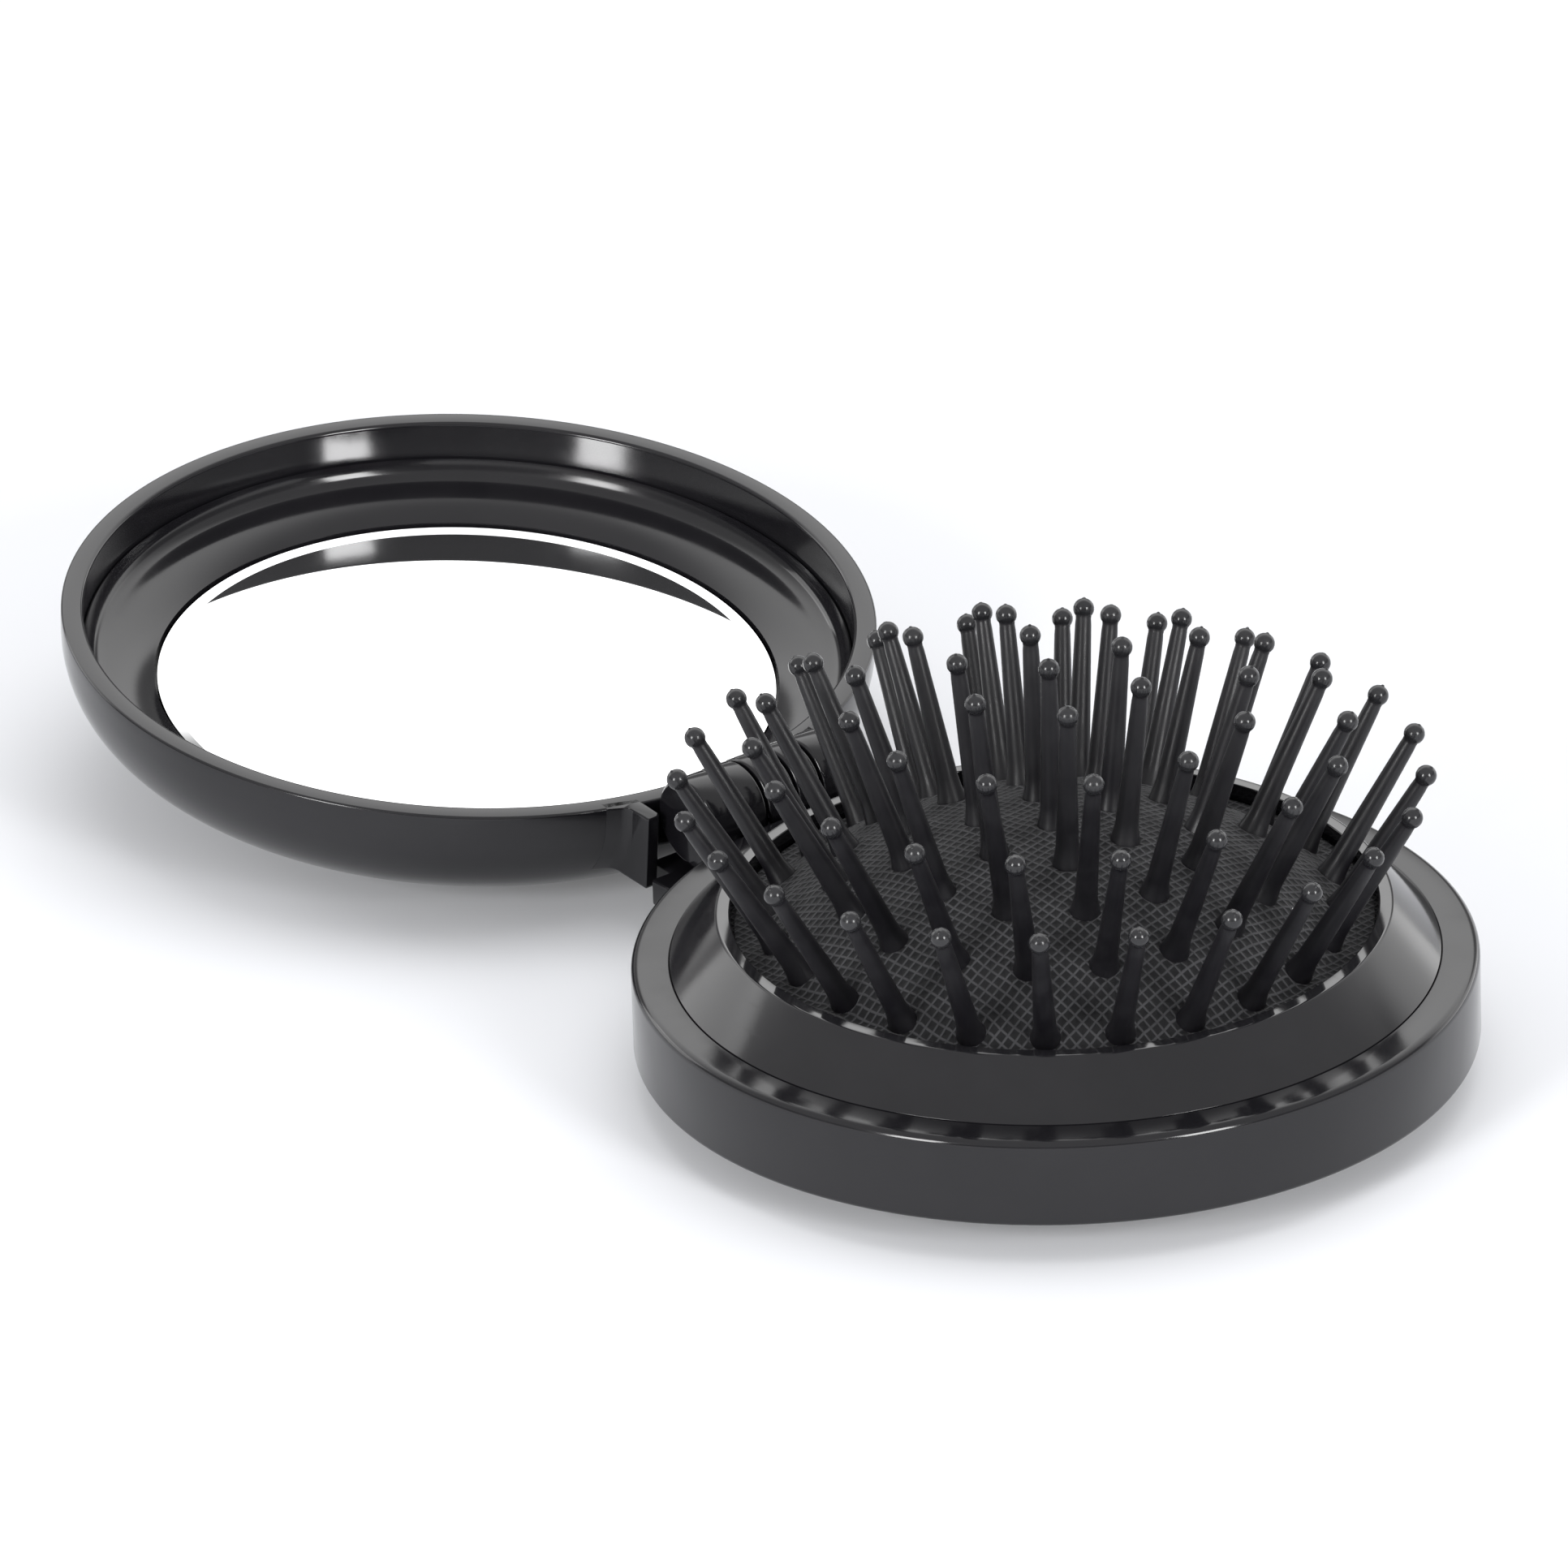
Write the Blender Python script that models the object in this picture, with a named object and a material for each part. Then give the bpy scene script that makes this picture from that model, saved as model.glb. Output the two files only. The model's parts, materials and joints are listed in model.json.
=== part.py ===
# Pocket compact: a round brush with 61 pins that sinks into its ring, and a hinged lid with a mirror.
# Metres, +Z up. X runs from the lid to the brush, Y along the hinge, and the origin is on the
# tabletop under the middle of the open compact.
import math

import bmesh
import bpy
from mathutils import Matrix, Vector

# General clearances, angles and mesh steps
GAP = 0.0003
CUT_OVERRUN = 0.001
WELD = 0.000001
TURN_STEPS = 48
KNUCKLE_STEPS = 24
PIN_STEPS = 6
HOLE_STEPS = 6
DOME_STEPS = 36
SKIN_SEGMENTS = 5
DISC_SEGMENTS = 2
RING_SEGMENTS = 1
SHARP_ANGLE = math.radians(35)

# Brush ring: heights are measured from its ledge, radii from its centre
LEDGE_RADIUS = 0.035
LEDGE_WIDTH = 0.003
LEDGE_ROUND = 0.0007
BAND_HEIGHT = 0.0076
FOOT_HEIGHT = 0.0034
FOOT_STEP = 0.0012
FOOT_TREAD = 0.0011
REBATE_DEPTH = 0.0022
REBATE_SEAT = 0.0036
FLOOR_LIP = 0.0018
FLOOR_LIP_THICKNESS = 0.00065

# Collar that keeps the cushion in
COLLAR_HEIGHT = 0.0043
COLLAR_LIP_WIDTH = 0.0017
COLLAR_RIM_WIDTH = 0.0011
COLLAR_LIP_THICKNESS = 0.0015

# Cushion: a dome over an air space, on rings that carry the pins' roots
DOME_RADIUS = 0.039
SKIN_STANDOUT = 0.0001
SKIN_THICKNESS = 0.0005
FLANGE_WIDTH = 0.003
FLANGE_THICKNESS = 0.0006
SKIRT_WIDTH = 0.0032
ROOT_THICKNESS = 0.0007
ROOT_RING_INSIDE = 0.0022
ROOT_RING_OUTSIDE = 0.0017

# Pins: lengths run from the cushion's surface to the middle of the ball
PIN_LENGTH = 0.01415
PIN_BALL_RADIUS = 0.00088
PIN_TIP_RADIUS = 0.00068
PIN_FOOT_RADIUS = 0.00098
PIN_FLARE_RADIUS = 0.00125
PIN_FLARE_HEIGHT = 0.0008
PIN_ROOT_RADIUS = 0.0008
ROOT_HOLE_RADIUS = 0.00122

# The pins' rings: how many, how far out, how far they lean out popped up, and where they start
OUTER_COUNT = 24
OUTER_INSET = 0.0011
OUTER_LEAN = math.radians(31.1)
OUTER_LEAN_STOWED = math.radians(4)
OUTER_START = math.radians(3.1)
MIDDLE_COUNT = 18
MIDDLE_FOOT_SHARE = 0.765
MIDDLE_LEAN = math.radians(27.4)
MIDDLE_LEAN_STOWED = math.radians(5)
MIDDLE_START = math.radians(13.3)
INNER_COUNT = 12
INNER_FOOT_SHARE = 0.5256
INNER_LEAN = math.radians(18.2)
INNER_START = math.radians(2.2)
CENTRE_COUNT = 6
CENTRE_FOOT_SHARE = 0.2692
CENTRE_LEAN = math.radians(6.7)
CENTRE_START = math.radians(31)

# Hinge: its axis is just over the ledge, outside the ring; five knuckles, the ring's at the ends
# and in the middle, over a step of the ring's band
HINGE_ROOM = 0.0002
KNUCKLE_RADIUS = 0.0038
KNUCKLE_LENGTH = 0.003
HINGE_RISE = 0.00018
HINGE_PIN_RADIUS = 0.0008
WEB_HEIGHT = 0.0048
WEB_DROP = 0.0009
STEP_REACH = 0.0024
STEP_DEPTH = 0.0052
STEP_THICKNESS = 0.0023
LID_LEAN = math.radians(6)

# Lid: depths are measured from its rim, radii from its centre
RIM_WIDTH = 0.0019
RIM_DROP = 0.0009
LID_WALL = 0.0015
DISH_SHOULDER = 0.025
DISH_POWER = 0.8
DISH_POINTS = 8
LINER_DEPTH = 0.0034
LINER_CURVE_POINTS = 5
LINER_EDGE = 0.0003
LINER_WALL = 0.0006
BOWL_WIDTH = 0.0062
TRAY_HOLE_RADIUS = 0.0080
TRAY_ROOM = 0.0019
MIRROR_DEPTH = 0.0068
MIRROR_THICKNESS = 0.0014
MIRROR_BEVEL = 0.0006
PAD_INSET = 0.0039
PAD_THICKNESS = 0.0004
SEAT_LIP = 0.0003

# Ears of the lid beside the knuckles
EAR_CLEARANCE = 0.0007
EAR_THICKNESS = 0.0015
EAR_STANDOUT = 0.0015
EAR_HEIGHT = 0.0068

# Worked-out heights and places
FLOOR = -BAND_HEIGHT - FOOT_HEIGHT
FOOT_TOP_RADIUS = LEDGE_RADIUS - FOOT_STEP
REBATE_RADIUS = LEDGE_RADIUS - LEDGE_WIDTH
BORE_RADIUS = REBATE_RADIUS - REBATE_SEAT
LIP_RADIUS = BORE_RADIUS - FLOOR_LIP
COLLAR_RADIUS = REBATE_RADIUS - GAP
COLLAR_OPENING = BORE_RADIUS - COLLAR_LIP_WIDTH
COLLAR_LIP_UNDERSIDE = COLLAR_HEIGHT - COLLAR_LIP_THICKNESS
FLANGE_TOP = COLLAR_LIP_UNDERSIDE - GAP
FLANGE_RADIUS = BORE_RADIUS - GAP
FLANGE_BORE = FLANGE_RADIUS - FLANGE_WIDTH
SKIN_RADIUS = FLANGE_BORE - GAP
CARRIER_SKIRT = SKIN_RADIUS - GAP
CARRIER_BORE = CARRIER_SKIRT - SKIRT_WIDTH
DOME_TOP = FLANGE_TOP + SKIN_STANDOUT + DOME_RADIUS - math.sqrt(DOME_RADIUS**2 - SKIN_RADIUS**2)
OUTER_FOOT = CARRIER_SKIRT - OUTER_INSET
MIDDLE_FOOT = OUTER_FOOT * MIDDLE_FOOT_SHARE
INNER_FOOT = OUTER_FOOT * INNER_FOOT_SHARE
CENTRE_FOOT = OUTER_FOOT * CENTRE_FOOT_SHARE
MIDDLE_INSIDE = MIDDLE_FOOT - ROOT_RING_INSIDE
MIDDLE_OUTSIDE = MIDDLE_FOOT + ROOT_RING_OUTSIDE
INNER_INSIDE = INNER_FOOT - ROOT_RING_INSIDE
INNER_OUTSIDE = INNER_FOOT + ROOT_RING_OUTSIDE
CENTRE_OUTSIDE = CENTRE_FOOT + ROOT_RING_OUTSIDE
ROOT_TOP_DEPTH = SKIN_THICKNESS + GAP
ROOT_BOTTOM_DEPTH = ROOT_TOP_DEPTH + ROOT_THICKNESS
ROOT_DEPTH = (ROOT_TOP_DEPTH + ROOT_BOTTOM_DEPTH) / 2
HINGE_DISTANCE = LEDGE_RADIUS + KNUCKLE_RADIUS + HINGE_ROOM
BARREL_END = KNUCKLE_LENGTH * 2.5
RIM_LEVEL = HINGE_RISE - GAP
RIM_RADIUS = LEDGE_RADIUS
SEAT_RADIUS = RIM_RADIUS - RIM_WIDTH - BOWL_WIDTH
PAD_RADIUS = SEAT_RADIUS - PAD_INSET
TRAY_FLOOR = MIRROR_DEPTH + MIRROR_THICKNESS + PAD_THICKNESS + GAP * 2
LID_BOTTOM_RADIUS = RIM_RADIUS - DISH_SHOULDER
LID_DEPTH = TRAY_FLOOR + LINER_WALL + TRAY_ROOM + LID_WALL
EAR_SPREAD = BARREL_END + EAR_CLEARANCE + EAR_THICKNESS
EAR_REACH = RIM_RADIUS + EAR_STANDOUT


def dish_profile(radius, bottom_radius, top, depth):
    """Rounded outline of the lid's dish, from its rim down and in, as (radius, depth) points."""
    points = []
    for i in range(DISH_POINTS + 1):
        angle = math.pi / 2 * i / DISH_POINTS
        across = math.cos(angle) ** DISH_POWER if i < DISH_POINTS else 0
        points.append(
            (
                bottom_radius + (radius - bottom_radius) * across,
                top + (depth - top) * math.sin(angle) ** DISH_POWER,
            )
        )
    return points


LID_OUTLINE = dish_profile(RIM_RADIUS, LID_BOTTOM_RADIUS, RIM_DROP, LID_DEPTH)
LID_FAR_REACH = max(
    (HINGE_DISTANCE + radius) * math.cos(LID_LEAN) + (depth - RIM_LEVEL) * math.sin(LID_LEAN)
    for radius, depth in LID_OUTLINE
)
BRUSH_X = (HINGE_DISTANCE + LID_FAR_REACH - LEDGE_RADIUS) / 2
HINGE_X = BRUSH_X - HINGE_DISTANCE
LEDGE_Z = -FLOOR
BRUSH_CENTRE = Vector((BRUSH_X, 0, LEDGE_Z))
HINGE_POINT = Vector((HINGE_X, 0, LEDGE_Z + HINGE_RISE))


def clear_scene():
    for obj in list(bpy.data.objects):
        bpy.data.objects.remove(obj, do_unlink=True)


def make_material(name, colour, roughness, metallic=0.0):
    material = bpy.data.materials.new(name)
    material.use_nodes = True
    shader = material.node_tree.nodes["Principled BSDF"]
    shader.inputs["Base Color"].default_value = (*colour, 1)
    shader.inputs["Roughness"].default_value = roughness
    shader.inputs["Metallic"].default_value = metallic
    return material


def add_object(name, mesh, material, matrix=None):
    """Link a mesh as a named object, placed by a matrix."""
    obj = bpy.data.objects.new(name, mesh)
    bpy.context.collection.objects.link(obj)
    if material and not mesh.materials:
        mesh.materials.append(material)
    if matrix is not None:
        obj.matrix_world = matrix
    return obj


def finish_mesh(bm, name, smooth=True):
    """Close a bmesh into a mesh with outward faces, shaded smooth where it is round."""
    bmesh.ops.remove_doubles(bm, verts=bm.verts, dist=WELD)
    bmesh.ops.recalc_face_normals(bm, faces=bm.faces)
    mesh = bpy.data.meshes.new(name)
    bm.to_mesh(mesh)
    bm.free()
    if smooth:
        mesh.shade_smooth()
        mesh.set_sharp_from_angle(angle=SHARP_ANGLE)
    return mesh


def turn_mesh(name, profile, steps, closed=True):
    """Spin (radius, height) points about Z: a closed loop, or an open line from axis to axis."""
    bm = bmesh.new()
    verts = [bm.verts.new((radius, 0, height)) for radius, height in profile]
    edges = [bm.edges.new(pair) for pair in zip(verts, verts[1:])]
    if closed:
        edges.append(bm.edges.new((verts[-1], verts[0])))
    bmesh.ops.spin(
        bm,
        geom=verts + edges,
        cent=(0, 0, 0),
        axis=(0, 0, 1),
        angle=math.tau,
        steps=steps,
        use_merge=True,
    )
    return finish_mesh(bm, name)


def box_mesh(name, low, high):
    """A box between two corners."""
    bm = bmesh.new()
    bmesh.ops.create_cube(bm, size=1)
    size = Vector(high) - Vector(low)
    middle = (Vector(high) + Vector(low)) / 2
    bmesh.ops.scale(bm, vec=size, verts=bm.verts)
    bmesh.ops.translate(bm, vec=middle, verts=bm.verts)
    return finish_mesh(bm, name, smooth=False)


def rod_mesh(name, radius, low, high, steps):
    """A cylinder along Z between two heights."""
    return turn_mesh(name, [(0, low), (radius, low), (radius, high), (0, high)], steps, closed=False)


def add_boolean(obj, other, operation):
    """Cut another object out of obj, or join it, and hide the other one."""
    modifier = obj.modifiers.new(other.name, "BOOLEAN")
    modifier.operation = operation
    modifier.solver = "EXACT"
    modifier.object = other
    other.hide_render = True
    other.display_type = "WIRE"


def lying_rod(name, radius, start, end, centre):
    """A cutter or a boss along Y, between two places on the hinge's axis."""
    mesh = rod_mesh(name, radius, start, end, KNUCKLE_STEPS)
    return add_object(name, mesh, None, Matrix.Translation(centre) @ Matrix.Rotation(-math.pi / 2, 4, "X"))


def dome(radius):
    """Height of the cushion's surface over the ledge, at a distance from its middle."""
    return DOME_TOP - DOME_RADIUS + math.sqrt(DOME_RADIUS**2 - radius**2)


def dome_line(inside, outside, depth, segments):
    """Points that run from inside to outside at a depth under the cushion's surface."""
    line = []
    for i in range(segments + 1):
        radius = inside + (outside - inside) * i / segments
        line.append((radius, dome(radius) - depth))
    return line


def ring_places(count, start):
    """Directions of the pins of one ring."""
    return [start + math.tau * i / count for i in range(count)]


def root_matrix(foot, lean, direction):
    """Frame of a pin's root: its place under the cushion's surface, with Z along the pin."""
    along = Vector((math.sin(lean), 0, math.cos(lean)))
    root = Vector((foot, 0, dome(foot))) - along * ROOT_DEPTH
    turn = Matrix.Rotation(direction, 4, "Z")
    return (
        Matrix.Translation(BRUSH_CENTRE)
        @ turn
        @ Matrix.Translation(root)
        @ Matrix.Rotation(lean, 4, "Y")
    )


def pin_mesh(name, root_length):
    """One pin, standing on its root, which reaches root_length below the root's middle."""
    surface = ROOT_DEPTH
    flare = surface + GAP
    ball = surface + PIN_LENGTH
    neck = ball - math.sqrt(PIN_BALL_RADIUS**2 - PIN_TIP_RADIUS**2)
    profile = [
        (0, -root_length),
        (PIN_ROOT_RADIUS, -root_length),
        (PIN_ROOT_RADIUS, flare),
        (PIN_FLARE_RADIUS, flare),
        (PIN_FOOT_RADIUS, flare + PIN_FLARE_HEIGHT),
        (PIN_TIP_RADIUS, neck),
        (PIN_BALL_RADIUS, ball),
        (PIN_BALL_RADIUS / math.sqrt(2), ball + PIN_BALL_RADIUS / math.sqrt(2)),
        (0, ball + PIN_BALL_RADIUS),
    ]
    return turn_mesh(name, profile, PIN_STEPS, closed=False)


def hole_cutter(name, rings, radius, half_length):
    """The holes of some rings of pins as one cutter; rings holds (count, foot, lean, start, hole lean)."""
    bm = bmesh.new()
    for count, foot, lean, start, hole_lean in rings:
        for direction in ring_places(count, start):
            matrix = root_matrix(foot, lean, direction) @ Matrix.Rotation(hole_lean - lean, 4, "Y")
            bmesh.ops.create_cone(
                bm,
                cap_ends=True,
                segments=HOLE_STEPS,
                radius1=radius,
                radius2=radius,
                depth=half_length * 2,
                matrix=matrix,
            )
    return add_object(name, finish_mesh(bm, name, smooth=False), None)


def turned_piece(name, profile, material, centre, steps=TURN_STEPS, closed=True):
    mesh = turn_mesh(name, profile, steps, closed)
    return add_object(name, mesh, material, Matrix.Translation(centre))


# Brush ring
def make_base(material):
    """The brush's ring: outer band, foot, bore with a lip, three knuckles and a step under them."""
    lip_top = FLOOR + FLOOR_LIP_THICKNESS
    profile = [
        (LEDGE_RADIUS - LEDGE_ROUND, 0),
        (LEDGE_RADIUS, -LEDGE_ROUND),
        (LEDGE_RADIUS, -BAND_HEIGHT),
        (FOOT_TOP_RADIUS, -BAND_HEIGHT),
        (BORE_RADIUS + FLOOR_LIP_THICKNESS, lip_top),
        (LIP_RADIUS + FOOT_TREAD, FLOOR),
        (LIP_RADIUS, FLOOR),
        (LIP_RADIUS, lip_top),
        (BORE_RADIUS, lip_top),
        (BORE_RADIUS, -REBATE_DEPTH),
        (REBATE_RADIUS, -REBATE_DEPTH),
        (REBATE_RADIUS, 0),
    ]
    base = turned_piece("base_shell", profile, material, BRUSH_CENTRE)
    for place, label in ((-1, "near"), (1, "far")):
        start = KNUCKLE_LENGTH * (place - 0.5)
        relief = lying_rod(
            f"{label}_relief", KNUCKLE_RADIUS + GAP, start, start + KNUCKLE_LENGTH, HINGE_POINT
        )
        add_boolean(base, relief, "DIFFERENCE")
    web_end = BRUSH_X - math.sqrt(LEDGE_RADIUS**2 - BARREL_END**2) + CUT_OVERRUN
    for place, label in ((-2, "near"), (0, "middle"), (2, "far")):
        start = KNUCKLE_LENGTH * (place - 0.5)
        end = start + KNUCKLE_LENGTH
        knuckle = lying_rod(f"{label}_knuckle", KNUCKLE_RADIUS, start, end, HINGE_POINT)
        add_boolean(base, knuckle, "UNION")
        mesh = box_mesh(
            f"{label}_web",
            (HINGE_X, start, LEDGE_Z - WEB_HEIGHT),
            (web_end, end, LEDGE_Z - WEB_DROP),
        )
        add_boolean(base, add_object(mesh.name, mesh, None), "UNION")
    step = box_mesh(
        "step_under_hinge",
        (HINGE_X - STEP_REACH, -EAR_SPREAD, LEDGE_Z - STEP_DEPTH - STEP_THICKNESS),
        (web_end, EAR_SPREAD, LEDGE_Z - STEP_DEPTH),
    )
    add_boolean(base, add_object(step.name, step, None), "UNION")
    bore = lying_rod(
        "base_pin_bore",
        HINGE_PIN_RADIUS + GAP,
        -BARREL_END - CUT_OVERRUN,
        BARREL_END + CUT_OVERRUN,
        HINGE_POINT,
    )
    add_boolean(base, bore, "DIFFERENCE")
    return base


def make_collar(material):
    """The raised ring round the cushion: a cone up to a narrow flat rim, with a lip over the carrier."""
    profile = [
        (COLLAR_RADIUS, 0),
        (COLLAR_OPENING + COLLAR_RIM_WIDTH, COLLAR_HEIGHT),
        (COLLAR_OPENING, COLLAR_HEIGHT),
        (COLLAR_OPENING, COLLAR_LIP_UNDERSIDE),
        (BORE_RADIUS, COLLAR_LIP_UNDERSIDE),
        (BORE_RADIUS, GAP - REBATE_DEPTH),
        (COLLAR_RADIUS, GAP - REBATE_DEPTH),
    ]
    return turned_piece("collar_ring", profile, material, BRUSH_CENTRE)


# Cushion
def make_carrier(material):
    """The ring that slides in the bore and holds the cushion's edge and the outer pins."""
    under = dome_line(CARRIER_BORE, CARRIER_SKIRT, ROOT_BOTTOM_DEPTH, RING_SEGMENTS)
    top = dome_line(CARRIER_BORE, FLANGE_BORE, ROOT_TOP_DEPTH, RING_SEGMENTS)
    flange_bottom = FLANGE_TOP - FLANGE_THICKNESS
    profile = [
        (FLANGE_RADIUS, FLANGE_TOP),
        (FLANGE_RADIUS, flange_bottom),
        (FLANGE_BORE + GAP, flange_bottom),
        *reversed(under),
        *top,
        (FLANGE_BORE, FLANGE_TOP),
    ]
    carrier = turned_piece("cushion_carrier", profile, material, BRUSH_CENTRE)
    holes = hole_cutter(
        "outer_root_holes",
        [(OUTER_COUNT, OUTER_FOOT, OUTER_LEAN, OUTER_START, (OUTER_LEAN + OUTER_LEAN_STOWED) / 2)],
        ROOT_HOLE_RADIUS,
        ROOT_BOTTOM_DEPTH,
    )
    add_boolean(carrier, holes, "DIFFERENCE")
    return carrier


def make_skin(material):
    """The rubber dome, with a hole for each pin's root."""
    top = dome_line(0, SKIN_RADIUS, 0, SKIN_SEGMENTS)
    under = dome_line(0, SKIN_RADIUS, SKIN_THICKNESS, SKIN_SEGMENTS)
    profile = [*top, *reversed(under)]
    skin = turned_piece("cushion_skin", profile, material, BRUSH_CENTRE, DOME_STEPS, closed=False)
    rings = [
        (OUTER_COUNT, OUTER_FOOT, OUTER_LEAN, OUTER_START, OUTER_LEAN),
        (MIDDLE_COUNT, MIDDLE_FOOT, MIDDLE_LEAN, MIDDLE_START, MIDDLE_LEAN),
        (INNER_COUNT, INNER_FOOT, INNER_LEAN, INNER_START, INNER_LEAN),
        (CENTRE_COUNT, CENTRE_FOOT, CENTRE_LEAN, CENTRE_START, CENTRE_LEAN),
        (1, 0, 0, 0, 0),
    ]
    holes = hole_cutter("skin_holes", rings, PIN_ROOT_RADIUS + GAP, ROOT_DEPTH + CUT_OVERRUN)
    add_boolean(skin, holes, "DIFFERENCE")
    return skin


def make_middle_root_ring(material):
    """The ring under the cushion that carries the middle pins' roots."""
    profile = [
        *dome_line(MIDDLE_INSIDE, MIDDLE_OUTSIDE, ROOT_TOP_DEPTH, RING_SEGMENTS),
        *reversed(dome_line(MIDDLE_INSIDE, MIDDLE_OUTSIDE, ROOT_BOTTOM_DEPTH, RING_SEGMENTS)),
    ]
    ring = turned_piece("middle_root_ring", profile, material, BRUSH_CENTRE, DOME_STEPS)
    holes = hole_cutter(
        "middle_root_holes",
        [(MIDDLE_COUNT, MIDDLE_FOOT, MIDDLE_LEAN, MIDDLE_START, (MIDDLE_LEAN + MIDDLE_LEAN_STOWED) / 2)],
        ROOT_HOLE_RADIUS,
        ROOT_BOTTOM_DEPTH,
    )
    add_boolean(ring, holes, "DIFFERENCE")
    return ring


def make_loose_pins(label, count, foot, lean, start, material):
    """A ring of pins that each lean on their own root."""
    mesh = pin_mesh(f"pin_{label}", ROOT_THICKNESS / 2)
    for number, direction in enumerate(ring_places(count, start), 1):
        add_object(f"pin_{label}_{number:02d}", mesh, material, root_matrix(foot, lean, direction))


def make_fused_pins(name, body, rings, material):
    """Pins that stand on one slice of backing: body is the slice, rings holds (count, foot, lean, start)."""
    mesh = pin_mesh(f"{name}_pin", 0)
    for ring, (count, foot, lean, start) in enumerate(rings):
        for number, direction in enumerate(ring_places(count, start), 1):
            label = f"{name}_{ring}_{number:02d}"
            pin = add_object(label, mesh, material, root_matrix(foot, lean, direction))
            add_boolean(body, pin, "UNION")


def make_inner_pins(material):
    """The ring of pins nearest the middle group, on its slice of backing."""
    profile = [
        *dome_line(INNER_INSIDE, INNER_OUTSIDE, ROOT_TOP_DEPTH, RING_SEGMENTS),
        *reversed(dome_line(INNER_INSIDE, INNER_OUTSIDE, ROOT_BOTTOM_DEPTH, RING_SEGMENTS)),
    ]
    slice_ring = turned_piece("pins_inner", profile, material, BRUSH_CENTRE, DOME_STEPS)
    rings = [(INNER_COUNT, INNER_FOOT, INNER_LEAN, INNER_START)]
    make_fused_pins("inner_pin", slice_ring, rings, material)


def make_centre_pins(material):
    """The seven pins in the middle, on a round slice of backing."""
    top = dome_line(0, CENTRE_OUTSIDE, ROOT_TOP_DEPTH, DISC_SEGMENTS)
    under = dome_line(0, CENTRE_OUTSIDE, ROOT_BOTTOM_DEPTH, DISC_SEGMENTS)
    profile = [*top, *reversed(under)]
    disc = turned_piece("pins_centre", profile, material, BRUSH_CENTRE, KNUCKLE_STEPS, closed=False)
    rings = [(CENTRE_COUNT, CENTRE_FOOT, CENTRE_LEAN, CENTRE_START), (1, 0, 0, 0)]
    make_fused_pins("centre_pin", disc, rings, material)


# Hinge and lid
def lid_frame():
    """The lid's own frame: on the hinge's axis, turned to where the lid lies open."""
    empty = bpy.data.objects.new("lid_hinge_axis", None)
    bpy.context.collection.objects.link(empty)
    empty.location = HINGE_POINT
    empty.rotation_euler = (0, LID_LEAN, 0)
    bpy.context.view_layer.update()
    return empty


def hang_on_lid(obj, frame, place=(0, 0, 0)):
    """Parent an object, drawn in the lid's own frame, to that frame."""
    obj.parent = frame
    obj.location = place
    return obj


def lid_piece(name, profile, material, frame, closed=True):
    """A turned piece about the lid's centre; heights are depths under the rim, downwards."""
    heights = [(radius, RIM_LEVEL - depth) for radius, depth in profile]
    obj = add_object(name, turn_mesh(name, heights, TURN_STEPS, closed), material)
    return hang_on_lid(obj, frame, (-HINGE_DISTANCE, 0, 0))


def lid_rod(name, radius, start, end, frame):
    """A boss or a cutter on the hinge's axis, in the lid's frame."""
    obj = add_object(name, rod_mesh(name, radius, start, end, KNUCKLE_STEPS), None)
    obj.rotation_euler = (-math.pi / 2, 0, 0)
    return hang_on_lid(obj, frame)


def lid_box(name, low, high, frame):
    return hang_on_lid(add_object(name, box_mesh(name, low, high), None), frame)


def inner_dish(rim_inside):
    """Inside of the lid's dish, under its rim, from the wall to the middle."""
    wall_inside = RIM_RADIUS - LID_WALL
    bottom_inside = LID_BOTTOM_RADIUS + LID_WALL
    points = dish_profile(wall_inside, bottom_inside, LINER_DEPTH + GAP, LID_DEPTH - LID_WALL)
    return [(min(radius, rim_inside), depth) for radius, depth in points]


def make_lid_shell(material, frame):
    """The lid's dish with its flat rim, two ears beside the hinge and two of its knuckles."""
    rim_inside = RIM_RADIUS - RIM_WIDTH
    profile = [
        (0, LID_DEPTH),
        *reversed(LID_OUTLINE),
        (RIM_RADIUS, 0),
        (rim_inside, 0),
        *inner_dish(rim_inside),
        (0, LID_DEPTH - LID_WALL),
    ]
    lid = lid_piece("lid_shell", profile, material, frame, closed=False)
    wall_overlap = HINGE_DISTANCE - math.sqrt(RIM_RADIUS**2 - EAR_SPREAD**2) + LID_WALL / 2
    for side, label in ((-1, "near"), (1, "far")):
        ends = sorted((side * EAR_SPREAD, side * (EAR_SPREAD - EAR_THICKNESS)))
        ear = lid_box(
            f"{label}_ear",
            (-wall_overlap, ends[0], RIM_LEVEL - EAR_HEIGHT),
            (EAR_REACH - HINGE_DISTANCE, ends[1], RIM_LEVEL),
            frame,
        )
        add_boolean(lid, ear, "UNION")
    relief = lid_rod("lid_relief", KNUCKLE_RADIUS + GAP, -BARREL_END - GAP, BARREL_END + GAP, frame)
    add_boolean(lid, relief, "DIFFERENCE")
    for place, label in ((-1, "near"), (1, "far")):
        start = KNUCKLE_LENGTH * (place - 0.5) + GAP
        end = KNUCKLE_LENGTH * (place + 0.5) - GAP
        knuckle = lid_rod(f"{label}_lid_knuckle", KNUCKLE_RADIUS, start, end, frame)
        add_boolean(lid, knuckle, "UNION")
        web = lid_box(
            f"{label}_lid_web",
            (RIM_RADIUS - HINGE_DISTANCE - LID_WALL / 2, start, RIM_LEVEL - WEB_HEIGHT),
            (0, end, RIM_LEVEL - WEB_DROP),
            frame,
        )
        add_boolean(lid, web, "UNION")
    bore = lid_rod("lid_pin_bore", HINGE_PIN_RADIUS + GAP, -EAR_SPREAD, EAR_SPREAD, frame)
    add_boolean(lid, bore, "DIFFERENCE")
    return lid


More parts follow.
